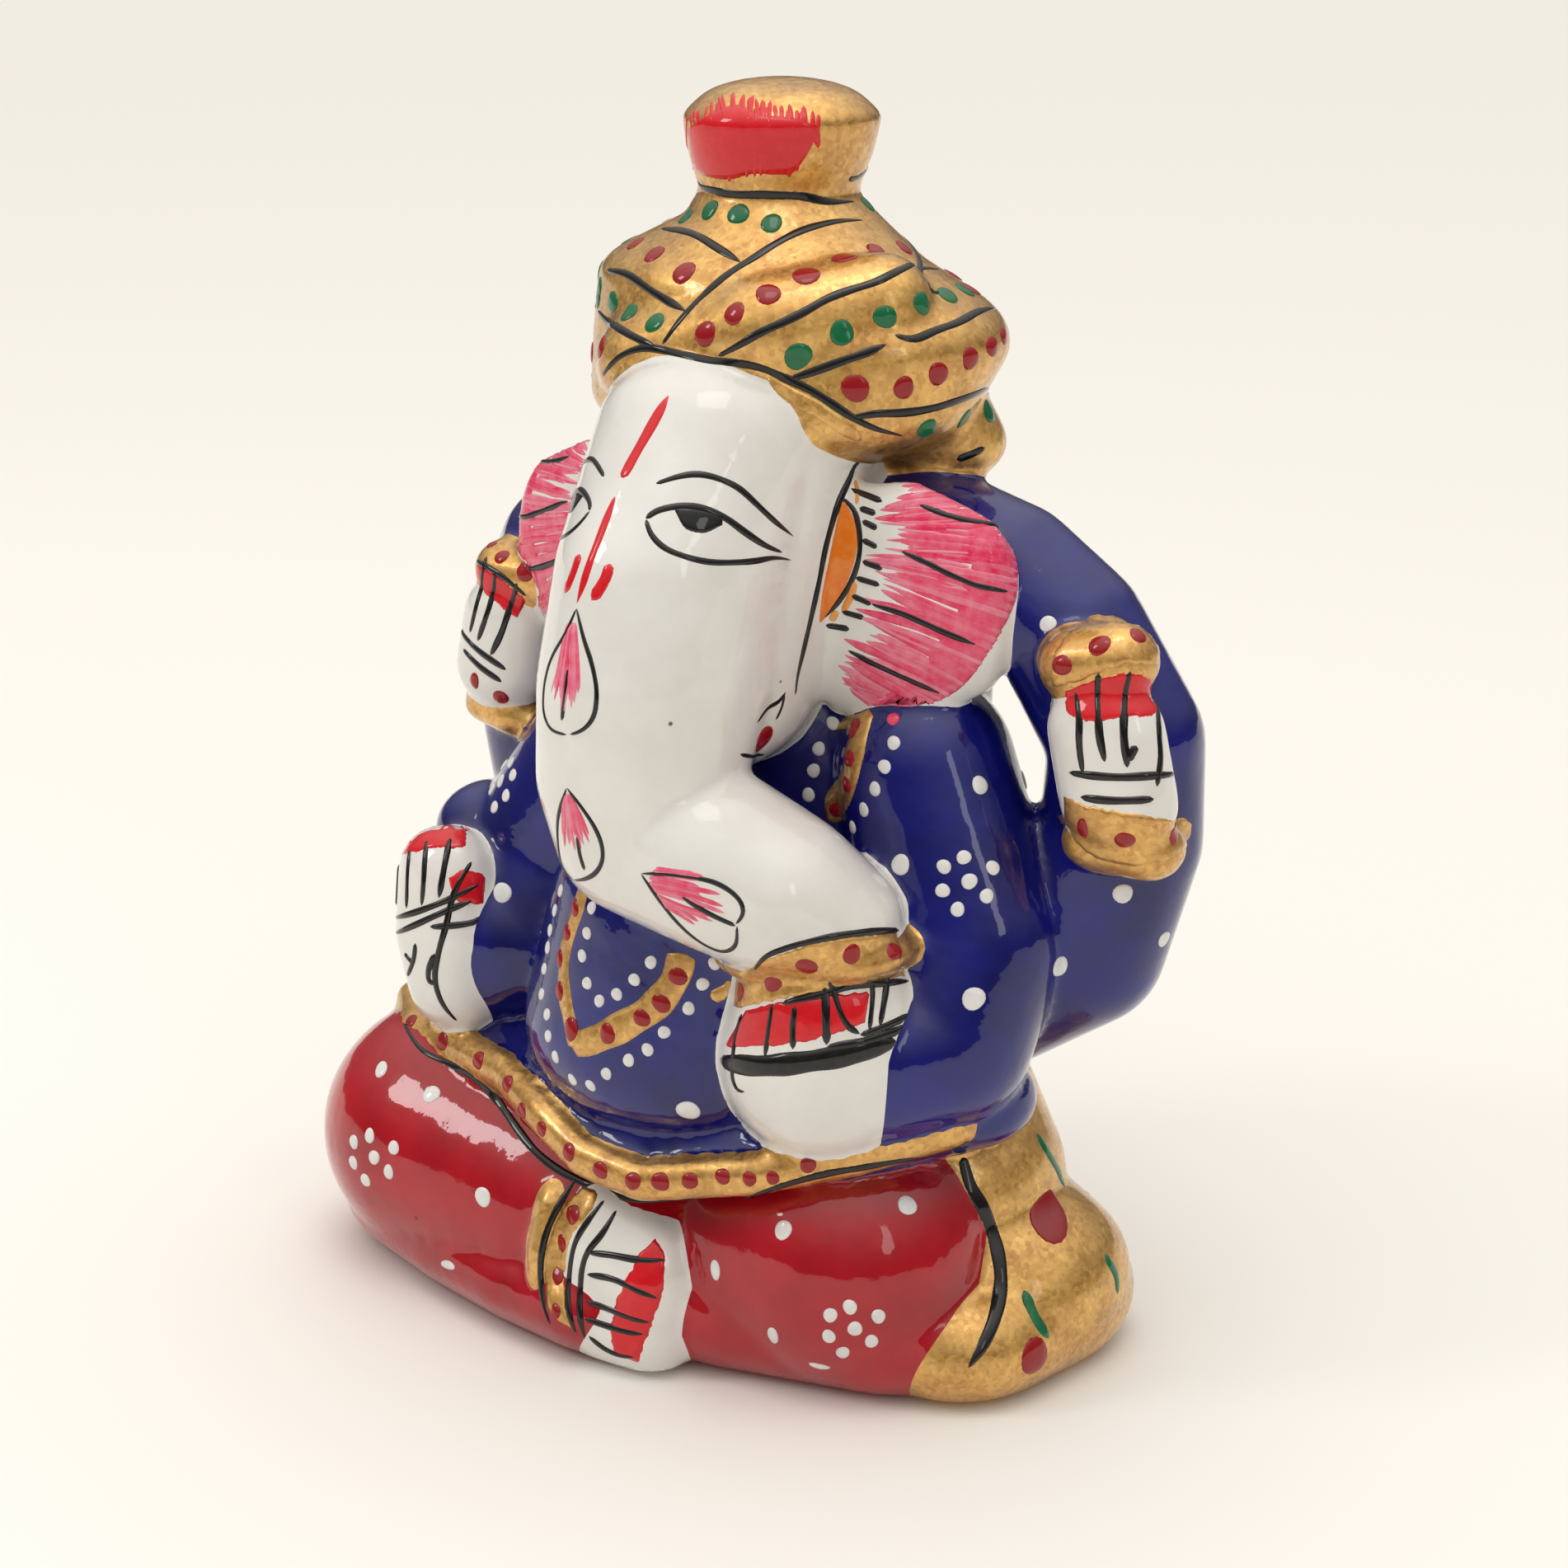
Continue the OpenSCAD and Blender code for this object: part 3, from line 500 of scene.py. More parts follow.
def handPaint(name, thick, thin):
    finish, tree, shader = newFinish(name)
    mix = tree.nodes.new("ShaderNodeGroup")
    mix.node_tree = paintNodes
    mix.inputs["Thick"].default_value = (*thick, 1)
    mix.inputs["Thin"].default_value = (*thin, 1)
    tree.links.new(mix.outputs["Color"], shader.inputs["Base Color"])
    tree.links.new(mix.outputs["Normal"], shader.inputs["Normal"])
    shader.inputs["Roughness"].default_value = 0.32
    shader.inputs["Specular IOR Level"].default_value = 0.1
    shader.inputs["Coat Weight"].default_value = 0.8
    shader.inputs["Coat Roughness"].default_value = 0.04


handPaint("blackPaint", (0.004, 0.004, 0.004), (0.03, 0.02, 0.015))
handPaint("redPaint", (0.66, 0.006, 0.014), (0.80, 0.03, 0.04))
handPaint("darkRedPaint", (0.30, 0.004, 0.008), (0.38, 0.02, 0.02))
handPaint("pinkPaint", (0.76, 0.022, 0.10), (0.82, 0.26, 0.36))
handPaint("greenPaint", (0.002, 0.13, 0.045), (0.02, 0.2, 0.08))
handPaint("orangePaint", (0.80, 0.18, 0.008), (0.80, 0.42, 0.10))
handPaint("whitePaint", (0.80, 0.79, 0.76), (0.55, 0.55, 0.62))

skinTrees = {}
outside = 100


def canvasOn(*names, azimuth=34.0, elevation=16.6, mirrored=False):
    # where a brush works: the members it may touch, and the direction from which its places are given
    if names not in skinTrees:
        part = skin.copy()
        wanted = {memberNames.index(name) for name in names}
        others = [face for face in part.faces if face.material_index not in wanted]
        bmesh.ops.delete(part, geom=others, context="FACES")
        middle = sum((vert.co for vert in part.verts), Vector()) / len(part.verts)
        skinTrees[names] = BVHTree.FromBMesh(part), middle
        part.free()
    turn, tip = math.radians(azimuth), math.radians(elevation)
    toward = Vector((math.sin(turn) * math.cos(tip), -math.cos(turn) * math.cos(tip), math.sin(tip)))
    across = Vector((math.cos(turn), math.sin(turn), 0))
    upward = toward.cross(across)
    if mirrored:
        for way in (toward, across, upward):
            way.x = -way.x
    tree, middle = skinTrees[names]
    return tree, toward, across, upward, middle.dot(toward)


def land(canvas, a, b, depth=None):
    # the point of the skin behind a place on the canvas, its normal and its depth
    tree, toward, across, upward, middle = canvas
    place = across * a + upward * b
    hit, normal, _, _ = tree.ray_cast(place + toward * outside, -toward)
    if hit is None or normal.dot(toward) < 0:
        hit, normal, _, _ = tree.find_nearest(place + toward * (middle if depth is None else depth))
    return hit, normal, hit.dot(toward)


def inView(canvas, a, b):
    # false where another member covers the skin, so that only its far side is met
    tree, toward, across, upward, _ = canvas
    hit, normal, _, _ = tree.ray_cast(across * a + upward * b + toward * outside, -toward)
    return hit is not None and normal.dot(toward) > 0.05


def curveThrough(points, count):
    knots = np.array(points, float)
    steps = np.concatenate([[0], np.cumsum(np.linalg.norm(np.diff(knots, axis=0), axis=1))])
    slopes = np.gradient(knots, steps, axis=0)
    at = np.linspace(0, steps[-1], count)
    span = np.clip(np.searchsorted(steps, at, side="right") - 1, 0, len(steps) - 2)
    length = (steps[span + 1] - steps[span])[:, None]
    t = (at - steps[span])[:, None] / length
    start = (1 + 2 * t) * (1 - t) ** 2 * knots[span] + t * (1 - t) ** 2 * length * slopes[span]
    return start + t * t * (3 - 2 * t) * knots[span + 1] + t * t * (t - 1) * length * slopes[span + 1]


pots = {}


def pot(name):
    # one mesh for each coat of paint on each part of the figure
    if name not in pots:
        pots[name] = bmesh.new()
        pots[name].verts.layers.float.new("thin")
    return pots[name]


# how far the underside of a coat and its thin edge lie below the skin
filmSink = 0.12
edgeSink = 0.01


def layFilm(name, columns, rows, place):
    # a grid of paint: place(u, v) gives a point of the skin, its normal, the lift and how thin the coat is
    bm = pot(name)
    thin = bm.verts.layers.float["thin"]
    top = bmesh.ops.create_grid(bm, x_segments=columns, y_segments=rows, size=1)["verts"]
    under = bmesh.ops.create_grid(bm, x_segments=columns, y_segments=rows, size=1)["verts"]
    rim = {}
    for upper, lower in zip(top, under):
        u, v = (upper.co.x + 1) / 2, (upper.co.y + 1) / 2
        hit, normal, lift, dryness = place(u, v)
        upper.co = hit + normal * lift
        lower.co = hit - normal * filmSink
        upper[thin] = lower[thin] = dryness
        rim[upper] = lower
    upperFaces = {face for vert in top for face in vert.link_faces}
    lowerFaces = {face for vert in under for face in vert.link_faces}
    sample = next(iter(upperFaces))
    sample.normal_update()
    outward = place(0.5, 0.5)[1]
    bmesh.ops.reverse_faces(bm, faces=list(lowerFaces if sample.normal.dot(outward) > 0 else upperFaces))
    borders = [edge for face in upperFaces for edge in face.edges if edge.is_boundary]
    for edge in borders:
        loop = edge.link_loops[0]
        first, second = loop.vert, loop.link_loop_next.vert
        bm.faces.new((second, first, rim[first], rim[second]))
    for face in upperFaces | lowerFaces:
        face.smooth = True


# how full of paint the brush of each color is
brushLoad = {"black": 1.2}


def brushLine(name, canvas, points, width=0.5, ends=(0.5, 0.2), lift=0.08, dry=0.0):
    # a line of paint with a crowned back, laid on the skin, narrowing or rounding off at its ends
    span = float(np.linalg.norm(np.diff(np.array(points, float), axis=0), axis=1).sum())
    count = max(8, int(span / 0.3))
    width *= brushLoad.get(name.split("_")[-1], 1.0)
    depth = None
    spots, normals = [], []
    for a, b in curveThrough(points, count + 1):
        hit, normal, depth = land(canvas, a, b, depth)
        spots.append(hit)
        normals.append(normal)
    path = np.array(spots)
    facing = np.array(normals)
    for _ in range(3):
        facing[1:-1] = (facing[:-2] + facing[1:-1] + facing[2:]) / 3
        path[1:-1] = (path[:-2] + 2 * path[1:-1] + path[2:]) / 4
    along = np.gradient(path, axis=0)
    sideways = np.cross(along, facing)
    sideways /= np.linalg.norm(sideways, axis=1)[:, None] + 1e-9
    wobble = random.uniform(0, 6)

    def place(u, v):
        row = round(u * count)
        taper = 1.0
        reach = 0.22
        if u < reach:
            taper = ends[0] + (1 - ends[0]) * math.sin(u / reach * math.pi / 2)
        elif u > 1 - reach:
            taper = ends[1] + (1 - ends[1]) * math.sin((1 - u) / reach * math.pi / 2)
        taper *= 1 + 0.06 * math.sin(wobble + u * span * 1.7)
        if row in (0, count):
            taper *= 0.35
        c = v * 2 - 1
        spot = Vector(path[row] + sideways[row] * c * width / 2 * taper)
        hit, normal, _, _ = canvas[0].find_nearest(spot)
        crown = 1 - c * c
        if row in (0, count):
            crown = 0
        dryness = dry + 0.5 * max(0, 4 * abs(u - 0.5) - 1.4)
        return hit, Vector(facing[row]).normalized(), lift * crown - edgeSink, dryness

    layFilm(name, count, 4, place)


def paintDot(name, canvas, a, b, radius=0.6, tall=None, lean=0, lift=0.16):
    # one touch of the brush: a round drop, flatter than it is wide
    if not inView(canvas, a, b):
        return
    bm = pot(name)
    hit, normal, _ = land(canvas, a, b)
    made = bmesh.ops.create_uvsphere(bm, u_segments=16, v_segments=8, radius=1)["verts"]
    tree, toward, across, upward, _ = canvas
    sideway = (across - normal * across.dot(normal)).normalized()
    if lean:
        sideway = Matrix.Rotation(math.radians(lean), 3, normal) @ sideway
    upway = normal.cross(sideway)
    thin = bm.verts.layers.float["thin"]
    shift = random.uniform(0, 6)
    for vert in made:
        turn = math.atan2(vert.co.y, vert.co.x)
        swell = 1 + 0.05 * math.sin(2 * turn + shift) + 0.03 * math.sin(3 * turn + 2 * shift)
        flat = hit + sideway * vert.co.x * radius * swell + upway * vert.co.y * (tall or radius) * swell
        near = tree.find_nearest(flat)[0]
        height = vert.co.z * lift if vert.co.z > 0 else vert.co.z * 0.15
        vert.co = near + normal * height
        vert[thin] = 0.0
    for vert in made:
        for face in vert.link_faces:
            face.smooth = True


def paintPatch(name, canvas, edgeA, edgeB, lift=0.06, ragged=0.0, dry=0.0):
    # paint filled in between two edges
    lengths = [float(np.linalg.norm(np.diff(np.array(edge, float), axis=0), axis=1).sum())
        for edge in (edgeA, edgeB)]
    gap = float(np.linalg.norm(curveThrough(edgeA, 3)[1] - curveThrough(edgeB, 3)[1]))
    columns = max(6, int(max(lengths) / 0.35))
    rows = max(5, int(gap / 0.35))
    sideA, sideB = curveThrough(edgeA, columns + 1), curveThrough(edgeB, columns + 1)
    jitter = [random.uniform(-ragged, ragged) for _ in range(2 * columns + 2)]

    def place(u, v):
        column = round(u * columns)
        start, end = sideA[column], sideB[column]
        way = end - start
        size = float(np.linalg.norm(way)) + 1e-6
        low, high = jitter[column] / size, 1 + jitter[-1 - column] / size
        a, b = start + way * (low + (high - low) * v)
        hit, normal, _ = land(canvas, a, b)
        inside = min(1, 4 * min(u, 1 - u) * columns / 4, 4 * min(v, 1 - v) * rows / 4)
        return hit, normal, lift * inside - edgeSink, dry

    layFilm(name, columns, rows, place)


def brushedPatch(name, canvas, roots, tips, strokes, width, spread=0.1, dry=(0.0, 0.5)):
    # many quick strokes side by side from one edge to the other, each with its own length and load of paint
    for index in range(strokes):
        share = (index + random.uniform(0.1, 0.9)) / strokes
        start = curveThrough(roots, 41)[round(share * 40)]
        end = curveThrough(tips, 41)[min(40, max(0, round((share + random.uniform(-0.03, 0.03)) * 40)))]
        way = end - start
        reach = random.uniform(1 - spread * 2, 1 + spread)
        bend = np.array((-way[1], way[0])) * random.uniform(-0.03, 0.03)
        points = [start, start + way * 0.5 * reach + bend, start + way * reach]
        brushLine(name, canvas, points, width * random.uniform(0.7, 1.2), ends=(0.8, 0.15),
                  lift=random.uniform(0.04, 0.09), dry=random.uniform(*dry))


def brushLines(name, canvas, lines, width, **how):
    for points in lines:
        brushLine(name, canvas, points, width, **how)


def paintDots(name, canvas, dots, **how):
    # each dot is a place, its radius and, where it isn't round, its half height
    for a, b, *sizes in dots:
        paintDot(name, canvas, a, b, *sizes, **how)


head = canvasOn("turban", "topknot", "head_and_trunk")
headRight = canvasOn("turban", "topknot", mirrored=True)
headBack = canvasOn("turban", "topknot", azimuth=180, elevation=10)

turban = {
    "folds": [[(-7, 76.2), (-5.7, 77.9), (-4.6, 79.1), (-3.4, 80.2), (-1.8, 81.5), (-0.2, 82.5),
        (1.6, 83.7), (3.2, 84.6), (5, 85.3), (6.4, 85.7), (8.2, 86)], [(-7.3, 86.1), (-4.8, 85),
        (-2.7, 83.4), (-1.1, 82.2)], [(-11.6, 83), (-10, 82.3), (-8.1, 80.7), (-6.3, 79.4),
        (-5.2, 78.6)], [(-12.4, 80.2), (-11.3, 78.7), (-9.6, 77.3), (-7.4, 76)], [(-2.8, 75),
        (-1.1, 75.7), (0.2, 76.4), (1.8, 77.1), (3.6, 78), (5.3, 79), (7.1, 79.7), (8.9, 80.3),
        (10.7, 81.3), (12.3, 82.2), (14.2, 82.5)], [(2.5, 73.2), (4.5, 73.8), (6.2, 74.4), (8, 75),
        (9.6, 75.7)], [(10.2, 76.4), (11.5, 76.1), (13.3, 76.9), (15.1, 77.7), (17, 79), (18.4, 79.6)],
        [(7.1, 70.4), (8.9, 70.7), (10.7, 70.8), (12.5, 71.1), (14.4, 71.7), (16, 72.4), (17.4, 73.2),
        (18.6, 74.3)], [(15.3, 68), (16.4, 68.4), (17.6, 69)], [(-4.8, 89.3), (-3.4, 88.4),
        (-1.8, 87.8), (0, 87.6), (1.8, 87.5), (3.4, 87.5), (5.5, 87.2), (7.6, 87.6)]],
    "brow edge": [(-11.8, 74.4), (-10, 75.8), (-8.1, 76.1), (-7, 75.8), (-5.4, 75.3), (-3.4, 74.7),
        (-1.3, 74.4), (0.7, 73.9), (2.3, 73.2), (3.8, 72.5), (5.4, 71.5), (7.1, 70.4), (8.9, 69.6),
        (11, 69.2)],
    "olive edge": [(0.9, 73.3), (2.7, 71.9), (4.5, 71), (6.2, 69.8), (7.8, 68.8)],
    "darkred dots": [(-3.75, 76.7, 0.98), (-1.6, 78, 0.92), (0.9, 79.4, 1), (3.7, 80.9, 1.1),
        (6.6, 82.4, 1), (9, 83.4, 0.75), (11.3, 84, 0.8), (-9.3, 85, 0.8), (-7.7, 83.6, 0.9),
        (-5.4, 81.7, 1), (-11.9, 76.7, 1), (7.3, 72.5, 1.05), (10.9, 72.6, 0.85), (13.5, 73.7, 0.9),
        (16, 75, 0.9), (17.8, 76.1, 0.9), (18.8, 77.2, 0.8)],
    "green dots": [(-12.3, 81.2, 0.9), (-11, 80.3, 0.9), (-9.6, 79.1, 0.85), (-7.6, 78, 0.9),
        (3.1, 74.8, 1.05), (6.3, 76.5, 0.95), (9.5, 77.7, 0.9), (12.3, 78.9, 0.95), (14.4, 80, 0.95),
        (15.9, 80.8, 0.9), (12.8, 69.8, 0.9), (15.8, 70.9, 0.9), (17.9, 71.8, 0.9), (-5.3, 86.7, 0.8),
        (-3.5, 86.8, 0.85), (-1.3, 86.2, 0.9), (1.2, 85.3, 0.85)],
    "line": 0.6,
    "turn": 9.0,
}


def sideHalf(points, start):
    return [point for point in points if point[0] > start]


brushLine("turban_edge_gold", head, turban["olive edge"], 1.3, ends=(0.2, 0.6), lift=0.06)
for line in turban["folds"]:
    brushLine("turban_black", head, line, turban["line"])
    rest = sideHalf(line, turban["turn"])
    if len(rest) > 1:
        brushLine("turban_black", headRight, rest, turban["line"])
brushLine("turban_black", head, turban["brow edge"], turban["line"] * 0.95)
for color in ("darkred", "green"):
    for a, b, radius in turban[color + " dots"]:
        paintDot("turban_" + color, head, a, b, radius)
        if a > turban["turn"]:
            paintDot("turban_" + color, headRight, a, b, radius)

backRows = {
    "lines": (83.5, 78.6, 73, 68.4),
    "dots": (("darkred", 81), ("green", 75.8), ("darkred", 70.7)),
    "half": 14.5,
    "step": 2.6,
    "rise": 1.6,
}


def backHeight(a, level):
    return level + backRows["rise"] * math.cos(a / backRows["half"] * 1.5)


for level in backRows["lines"]:
    row = [(a, backHeight(a, level)) for a in np.linspace(-1, 1, 9) * backRows["half"]]
    brushLine("turban_black", headBack, row, turban["line"])
for color, level in backRows["dots"]:
    for a in np.arange(-backRows["half"] + 1.3, backRows["half"] - 1, backRows["step"]):
        paintDot("turban_" + color, headBack, a, backHeight(a, level), 0.9)
for step in range(5):
    paintDot("turban_green", headBack, (step - 2) * 2.6, 87.8, 0.85)
brushLine("turban_black", headBack, [(a, 90.2) for a in (-6.5, -4, 0, 4, 6.5)], turban["line"])

topknotRed = {
    "foot": [(-5, 90.4), (-3.6, 89.2), (-2, 88.7), (0, 88.9), (1.5, 88.8), (2.8, 88.9), (3.6, 89.8),
        (4.6, 91.5)],
    "crest": [(-5.3, 93.9), (-3.9, 94.6), (-2.3, 95.1), (-1.2, 95.2), (0, 94.4), (1.8, 94), (3.5, 93.8),
        (4.9, 92.7)],
}


def shifted(points, rise):
    return [(a, b + rise) for a, b in points]


crest, foot = topknotRed["crest"], topknotRed["foot"]
paintPatch("topknot_red", head, foot, shifted(crest, -1.1), lift=0.07)
brushedPatch("topknot_red", head, shifted(crest, -2.2), crest, 34, 0.42, spread=0.16, dry=(0, 0.15))
brushedPatch("topknot_red", head, shifted(foot[2:7], 1.5), foot[2:7], 14, 0.4, spread=0.12, dry=(0, 0.15))
print("turban painted")

faceLeft = canvasOn("head_and_trunk")
faceRight = canvasOn("head_and_trunk", mirrored=True)
face = {
    "tilak": [([(-6.4, 72), (-7.6, 69.8), (-9, 67.3), (-9.8, 65.8)], 1.0, (0.05, 0.75)),
        ([(-10.3, 64.5), (-11.1, 62.3), (-12.1, 59.6), (-13.1, 56.6)], 0.75, (0.35, 0.05)),
        ([(-12.9, 60.3), (-13.2, 59.4), (-13.6, 58.4), (-14.1, 57.4)], 0.95, (0.8, 0.05)),
        ([(-10.6, 59.5), (-10.9, 58.4), (-11.4, 57.6), (-12, 56.8)], 1.05, (0.7, 0.05))],
    "upper lid": [(-8, 62.7), (-7.6, 63.1), (-6.5, 63.5), (-5.1, 63.65), (-3.6, 63.4), (-2.4, 62.9),
        (-0.8, 61.8), (0.7, 60.9), (1.95, 60.5)],
    "lower lid": [(-8, 62.7), (-7.7, 61.7), (-6.7, 60.6), (-5.3, 60), (-3.6, 59.6), (-1.65, 59.6),
        (0.1, 59.8), (1.4, 60.1), (2.6, 60)],
    "iris": ([(-6, 63.45), (-5, 63.6), (-3.6, 63.4), (-2.4, 62.9)], [(-5.8, 63.1), (-5.1, 61.9),
        (-3.9, 61.6), (-2.4, 62.3)]),
    "brow": [(-7.3, 65.3), (-5.9, 65.75), (-4.35, 66), (-2.8, 65.7), (-1.25, 65), (-0.1, 64),
        (1.25, 62.8), (2.8, 61.7)],
    "cheek line": [(8.1, 69), (7.6, 67.7), (7, 66.2), (6.2, 64.5), (5.6, 62.6), (5.1, 60.6),
        (4.75, 58.7), (4.35, 56.9), (3.85, 54.7), (3.45, 53), (3.05, 51.3), (2.9, 50)],
    "mouth": [([(0, 47.9), (1.05, 49.2), (1.6, 49.4), (2.2, 50.3)], 0.35), ([(1.4, 48.1), (1.9, 49.1),
        (2.1, 50.2)], 0.3), ([(-1.3, 45.6), (-0.3, 45.4), (0.6, 45.5)], 0.3)],
}


def paintFace(canvas, side):
    brushLine(side + "_face_black", canvas, face["upper lid"], 0.5, ends=(0.7, 0.3))
    brushLine(side + "_face_black", canvas, face["lower lid"], 0.42, ends=(0.7, 0.2))
    paintPatch(side + "_face_black", canvas, *face["iris"], lift=0.06)
    brushLine(side + "_face_black", canvas, face["brow"], 0.45, ends=(0.6, 0.1))
    for line, width in face["mouth"]:
        brushLine(side + "_face_black", canvas, line, width)
    paintDot(side + "_mouth_darkred", canvas, 0.4, 46.7, 1.2, lift=0.2)


paintFace(faceLeft, "left")
paintFace(faceRight, "right")
for line, width, ends in face["tilak"]:
    brushLine("tilak_red", faceLeft, line, width, ends=ends)

petals = [
    {
        "outline": [[(-13.1, 56.3), (-13.9, 54.6), (-15.1, 52.7), (-15.7, 50.3), (-15.7, 48.5),
            (-15.1, 47.4), (-13.9, 47.1)], [(-13.1, 56.3), (-12.6, 54.2), (-11.9, 52), (-11.6, 49.9),
            (-12, 48.1), (-12.9, 47.3), (-13.7, 47.1)]],
        "vein": [(-13.7, 52.1), (-14, 49.9), (-14.3, 48.1)],
        "pink": ([(-13.8, 55.3), (-13.2, 55.3)],
            [(-15.1, 50.2), (-14.2, 48.9), (-13.5, 49.6), (-12.8, 49.8)]),
    },
    {
        "outline": [[(-14, 43.2), (-14.8, 40.9), (-14.9, 39.2), (-14.8, 37.8), (-14.5, 36.8),
            (-13.8, 36.2)], [(-14, 43.2), (-12.8, 41.6), (-11.9, 40.2), (-11.4, 38.8), (-11.4, 37.8),
            (-11.9, 36.9), (-12.9, 36.3), (-13.8, 36.2)]],
        "vein": [(-13.3, 39.7), (-13.2, 38.4), (-12.8, 37)],
        "pink": ([(-14.2, 42.8), (-13.8, 42.8)], [(-14.6, 39), (-14, 38.6), (-13, 38.8), (-12.1, 39.2)]),
    },
    {
        "outline": [[(-8.55, 36.9), (-6.7, 36.9), (-5, 36.7), (-3.35, 36.4), (-2, 35.7), (-1.15, 34.8),
            (-1, 34), (-1.6, 33.2)], [(-8.55, 36.9), (-7.4, 35.2), (-6.3, 33.7), (-5.1, 32.4),
            (-3.7, 31.4), (-2.4, 31), (-1.7, 31.4), (-1.5, 33.1)]],
        "vein": [(-5.6, 35.3), (-4.3, 34.4), (-3, 33.7), (-1.6, 33.1)],
        "pink": ([(-7.4, 37.5), (-8, 36.5), (-7, 34.6)],
            [(-3.9, 37.2), (-3.3, 35.8), (-2.9, 34.2), (-4.4, 33)]),
    },
]
for petal in petals:
    brushedPatch("petal_pink", faceLeft, *petal["pink"], 16, 0.42, spread=0.12, dry=(0.05, 0.6))
    brushLines("petal_black", faceLeft, petal["outline"], 0.34, ends=(0.3, 0.5), lift=0.1)
    brushLine("petal_black", faceLeft, petal["vein"], 0.4, ends=(0.3, 0.8), lift=0.11)
print("face painted")

ear = {
    "edge": [(14.9, 66.5), (17.8, 64.9), (19.6, 62.3), (20, 60), (19.3, 57), (17.6, 53.4), (14.9, 50.1),
        (11.2, 48.9), (8.8, 49.2)],
    "fringe": [(10.5, 66), (11, 64.8), (9.3, 63.4), (10.3, 62), (10.6, 61.1), (9.0, 60.1), (9.7, 58.3),
        (8.4, 56.5), (7.5, 54.3), (6.5, 51.8), (7.5, 50)],
    "veins": [[(12, 64.1), (13.7, 63.4), (15.5, 62.9), (17.3, 62.6), (18.4, 62.4)], [(10.7, 60.7),
        (12.5, 59.8), (14.5, 58.8), (16.4, 58), (18.7, 57.6)], [(8.6, 56.8), (10.5, 56.2), (12.5, 55.3),
        (14.5, 54.4), (16.4, 53.7)], [(6.9, 53.4), (8.6, 52.5), (10.5, 51.6), (12.5, 50.7),
        (13.9, 50.1)]],
    "ticks": [((7.1, 65.5), (9.4, 64.4)), ((7.7, 64), (8.9, 63.5)), ((7.9, 63), (9, 62.4)),
        ((7.9, 61.6), (9, 61)), ((7.9, 60), (9.4, 59.4)), ((7.4, 58.8), (9.2, 58.2)), ((7.1, 57.5),
        (8.6, 56.8)), ((6.4, 56.3), (8.1, 55.8)), ((5.2, 55.3), (7, 55))],
    "leaf": ([(6.4, 64.6), (5.9, 62.6), (5.5, 60.6), (5.1, 58.7), (4.8, 57), (4.7, 55.4)], [(6.6, 64.6),
        (7.4, 63), (7.6, 61), (7.2, 59.3), (6.3, 57.4), (4.9, 55.5)]),
    "leaf edge": [(6.4, 64.8), (7.3, 63.9), (7.65, 62.6), (7.75, 61), (7.6, 59.9), (6.9, 58.1),
        (6, 56.8), (5.1, 55.8)],
    "smears": [([(7.4, 66.2), (7.6, 65.2), (7.5, 64.2)], 0.4), ([(7.4, 58.6), (7.1, 57.4), (6.4, 56.2)],
        0.7), ([(6.1, 56.4), (5.6, 55.6)], 0.7)],
}


def paintEar(canvas, side):
    middle = curveThrough(ear["edge"], 9) * 0.6 + curveThrough(ear["fringe"], 9) * 0.4
    paintPatch(side + "_ear_pink", canvas, ear["edge"], middle, lift=0.05, dry=0.12)
    brushedPatch(side + "_ear_pink", canvas, ear["edge"], ear["fringe"], 62, 0.75, dry=(0.0, 0.55))
    brushedPatch(side + "_ear_pink", canvas, middle, ear["fringe"], 40, 0.32, spread=0.2, dry=(0.1, 0.8))
    brushLines(side + "_ear_black", canvas, ear["veins"], 0.5, ends=(0.3, 0.2), lift=0.15)
    brushLines(side + "_ear_black", canvas, ear["ticks"], 0.42, ends=(0.2, 0.9), lift=0.12)
    paintPatch(side + "_ear_orange", canvas, *ear["leaf"], lift=0.06)
    for line, width in ear["smears"]:
        brushLine(side + "_ear_orange", canvas, line, width, lift=0.05, dry=0.3)
    brushLine(side + "_ear_black", canvas, ear["leaf edge"], 0.42)
    brushLine(side + "_ear_black", canvas, face["cheek line"], 0.5, ends=(0.25, 0.15), lift=0.12)


paintEar(canvasOn("ear_left", "head_and_trunk"), "left")
paintEar(canvasOn("ear_right", "head_and_trunk", mirrored=True), "right")
print("ears painted")

tunic = canvasOn("torso", "front_arm_left", "rear_arm_left", "front_arm_right", "rear_arm_right")
tunicRight = canvasOn("torso", "front_arm_right", "rear_arm_right", mirrored=True)
tunicBack = canvasOn("torso", "rear_arm_left", "rear_arm_right", "front_arm_left", "front_arm_right",
    azimuth=180, elevation=0)
tunicPaint = {
    "singles": [(10.8, 37.2, 0.8), (21.6, 55.2, 0.65), (16.8, 43.2, 0.7), (16.2, 27.2, 0.9),
        (23, 29.3, 0.8), (27.5, 35, 0.8), (31.1, 31.3, 0.7), (-5.4, 18, 0.95)],
    "flower": (15.9, 36),
    "petals": [(-1.9, 1.1), (-0.4, 1.8), (1.8, 1), (1.3, -1.1), (-0.9, -2.1), (-2, -0.7)],
    "back flowers": [(-12, 55), (12, 55), (0, 40), (-17, 34), (17, 34)],
    "back dots": [(0, 58), (-7, 47), (7, 47), (-22, 48), (22, 48), (-9, 30), (9, 30), (0, 24),
        (-24, 28), (24, 28)],
}


def paintFlower(name, canvas, a, b, size=0.56, tall=None):
    paintDot(name, canvas, a, b, size * 1.1, tall)
    for right, up in tunicPaint["petals"]:
        paintDot(name, canvas, a + right, b + up, size, tall)


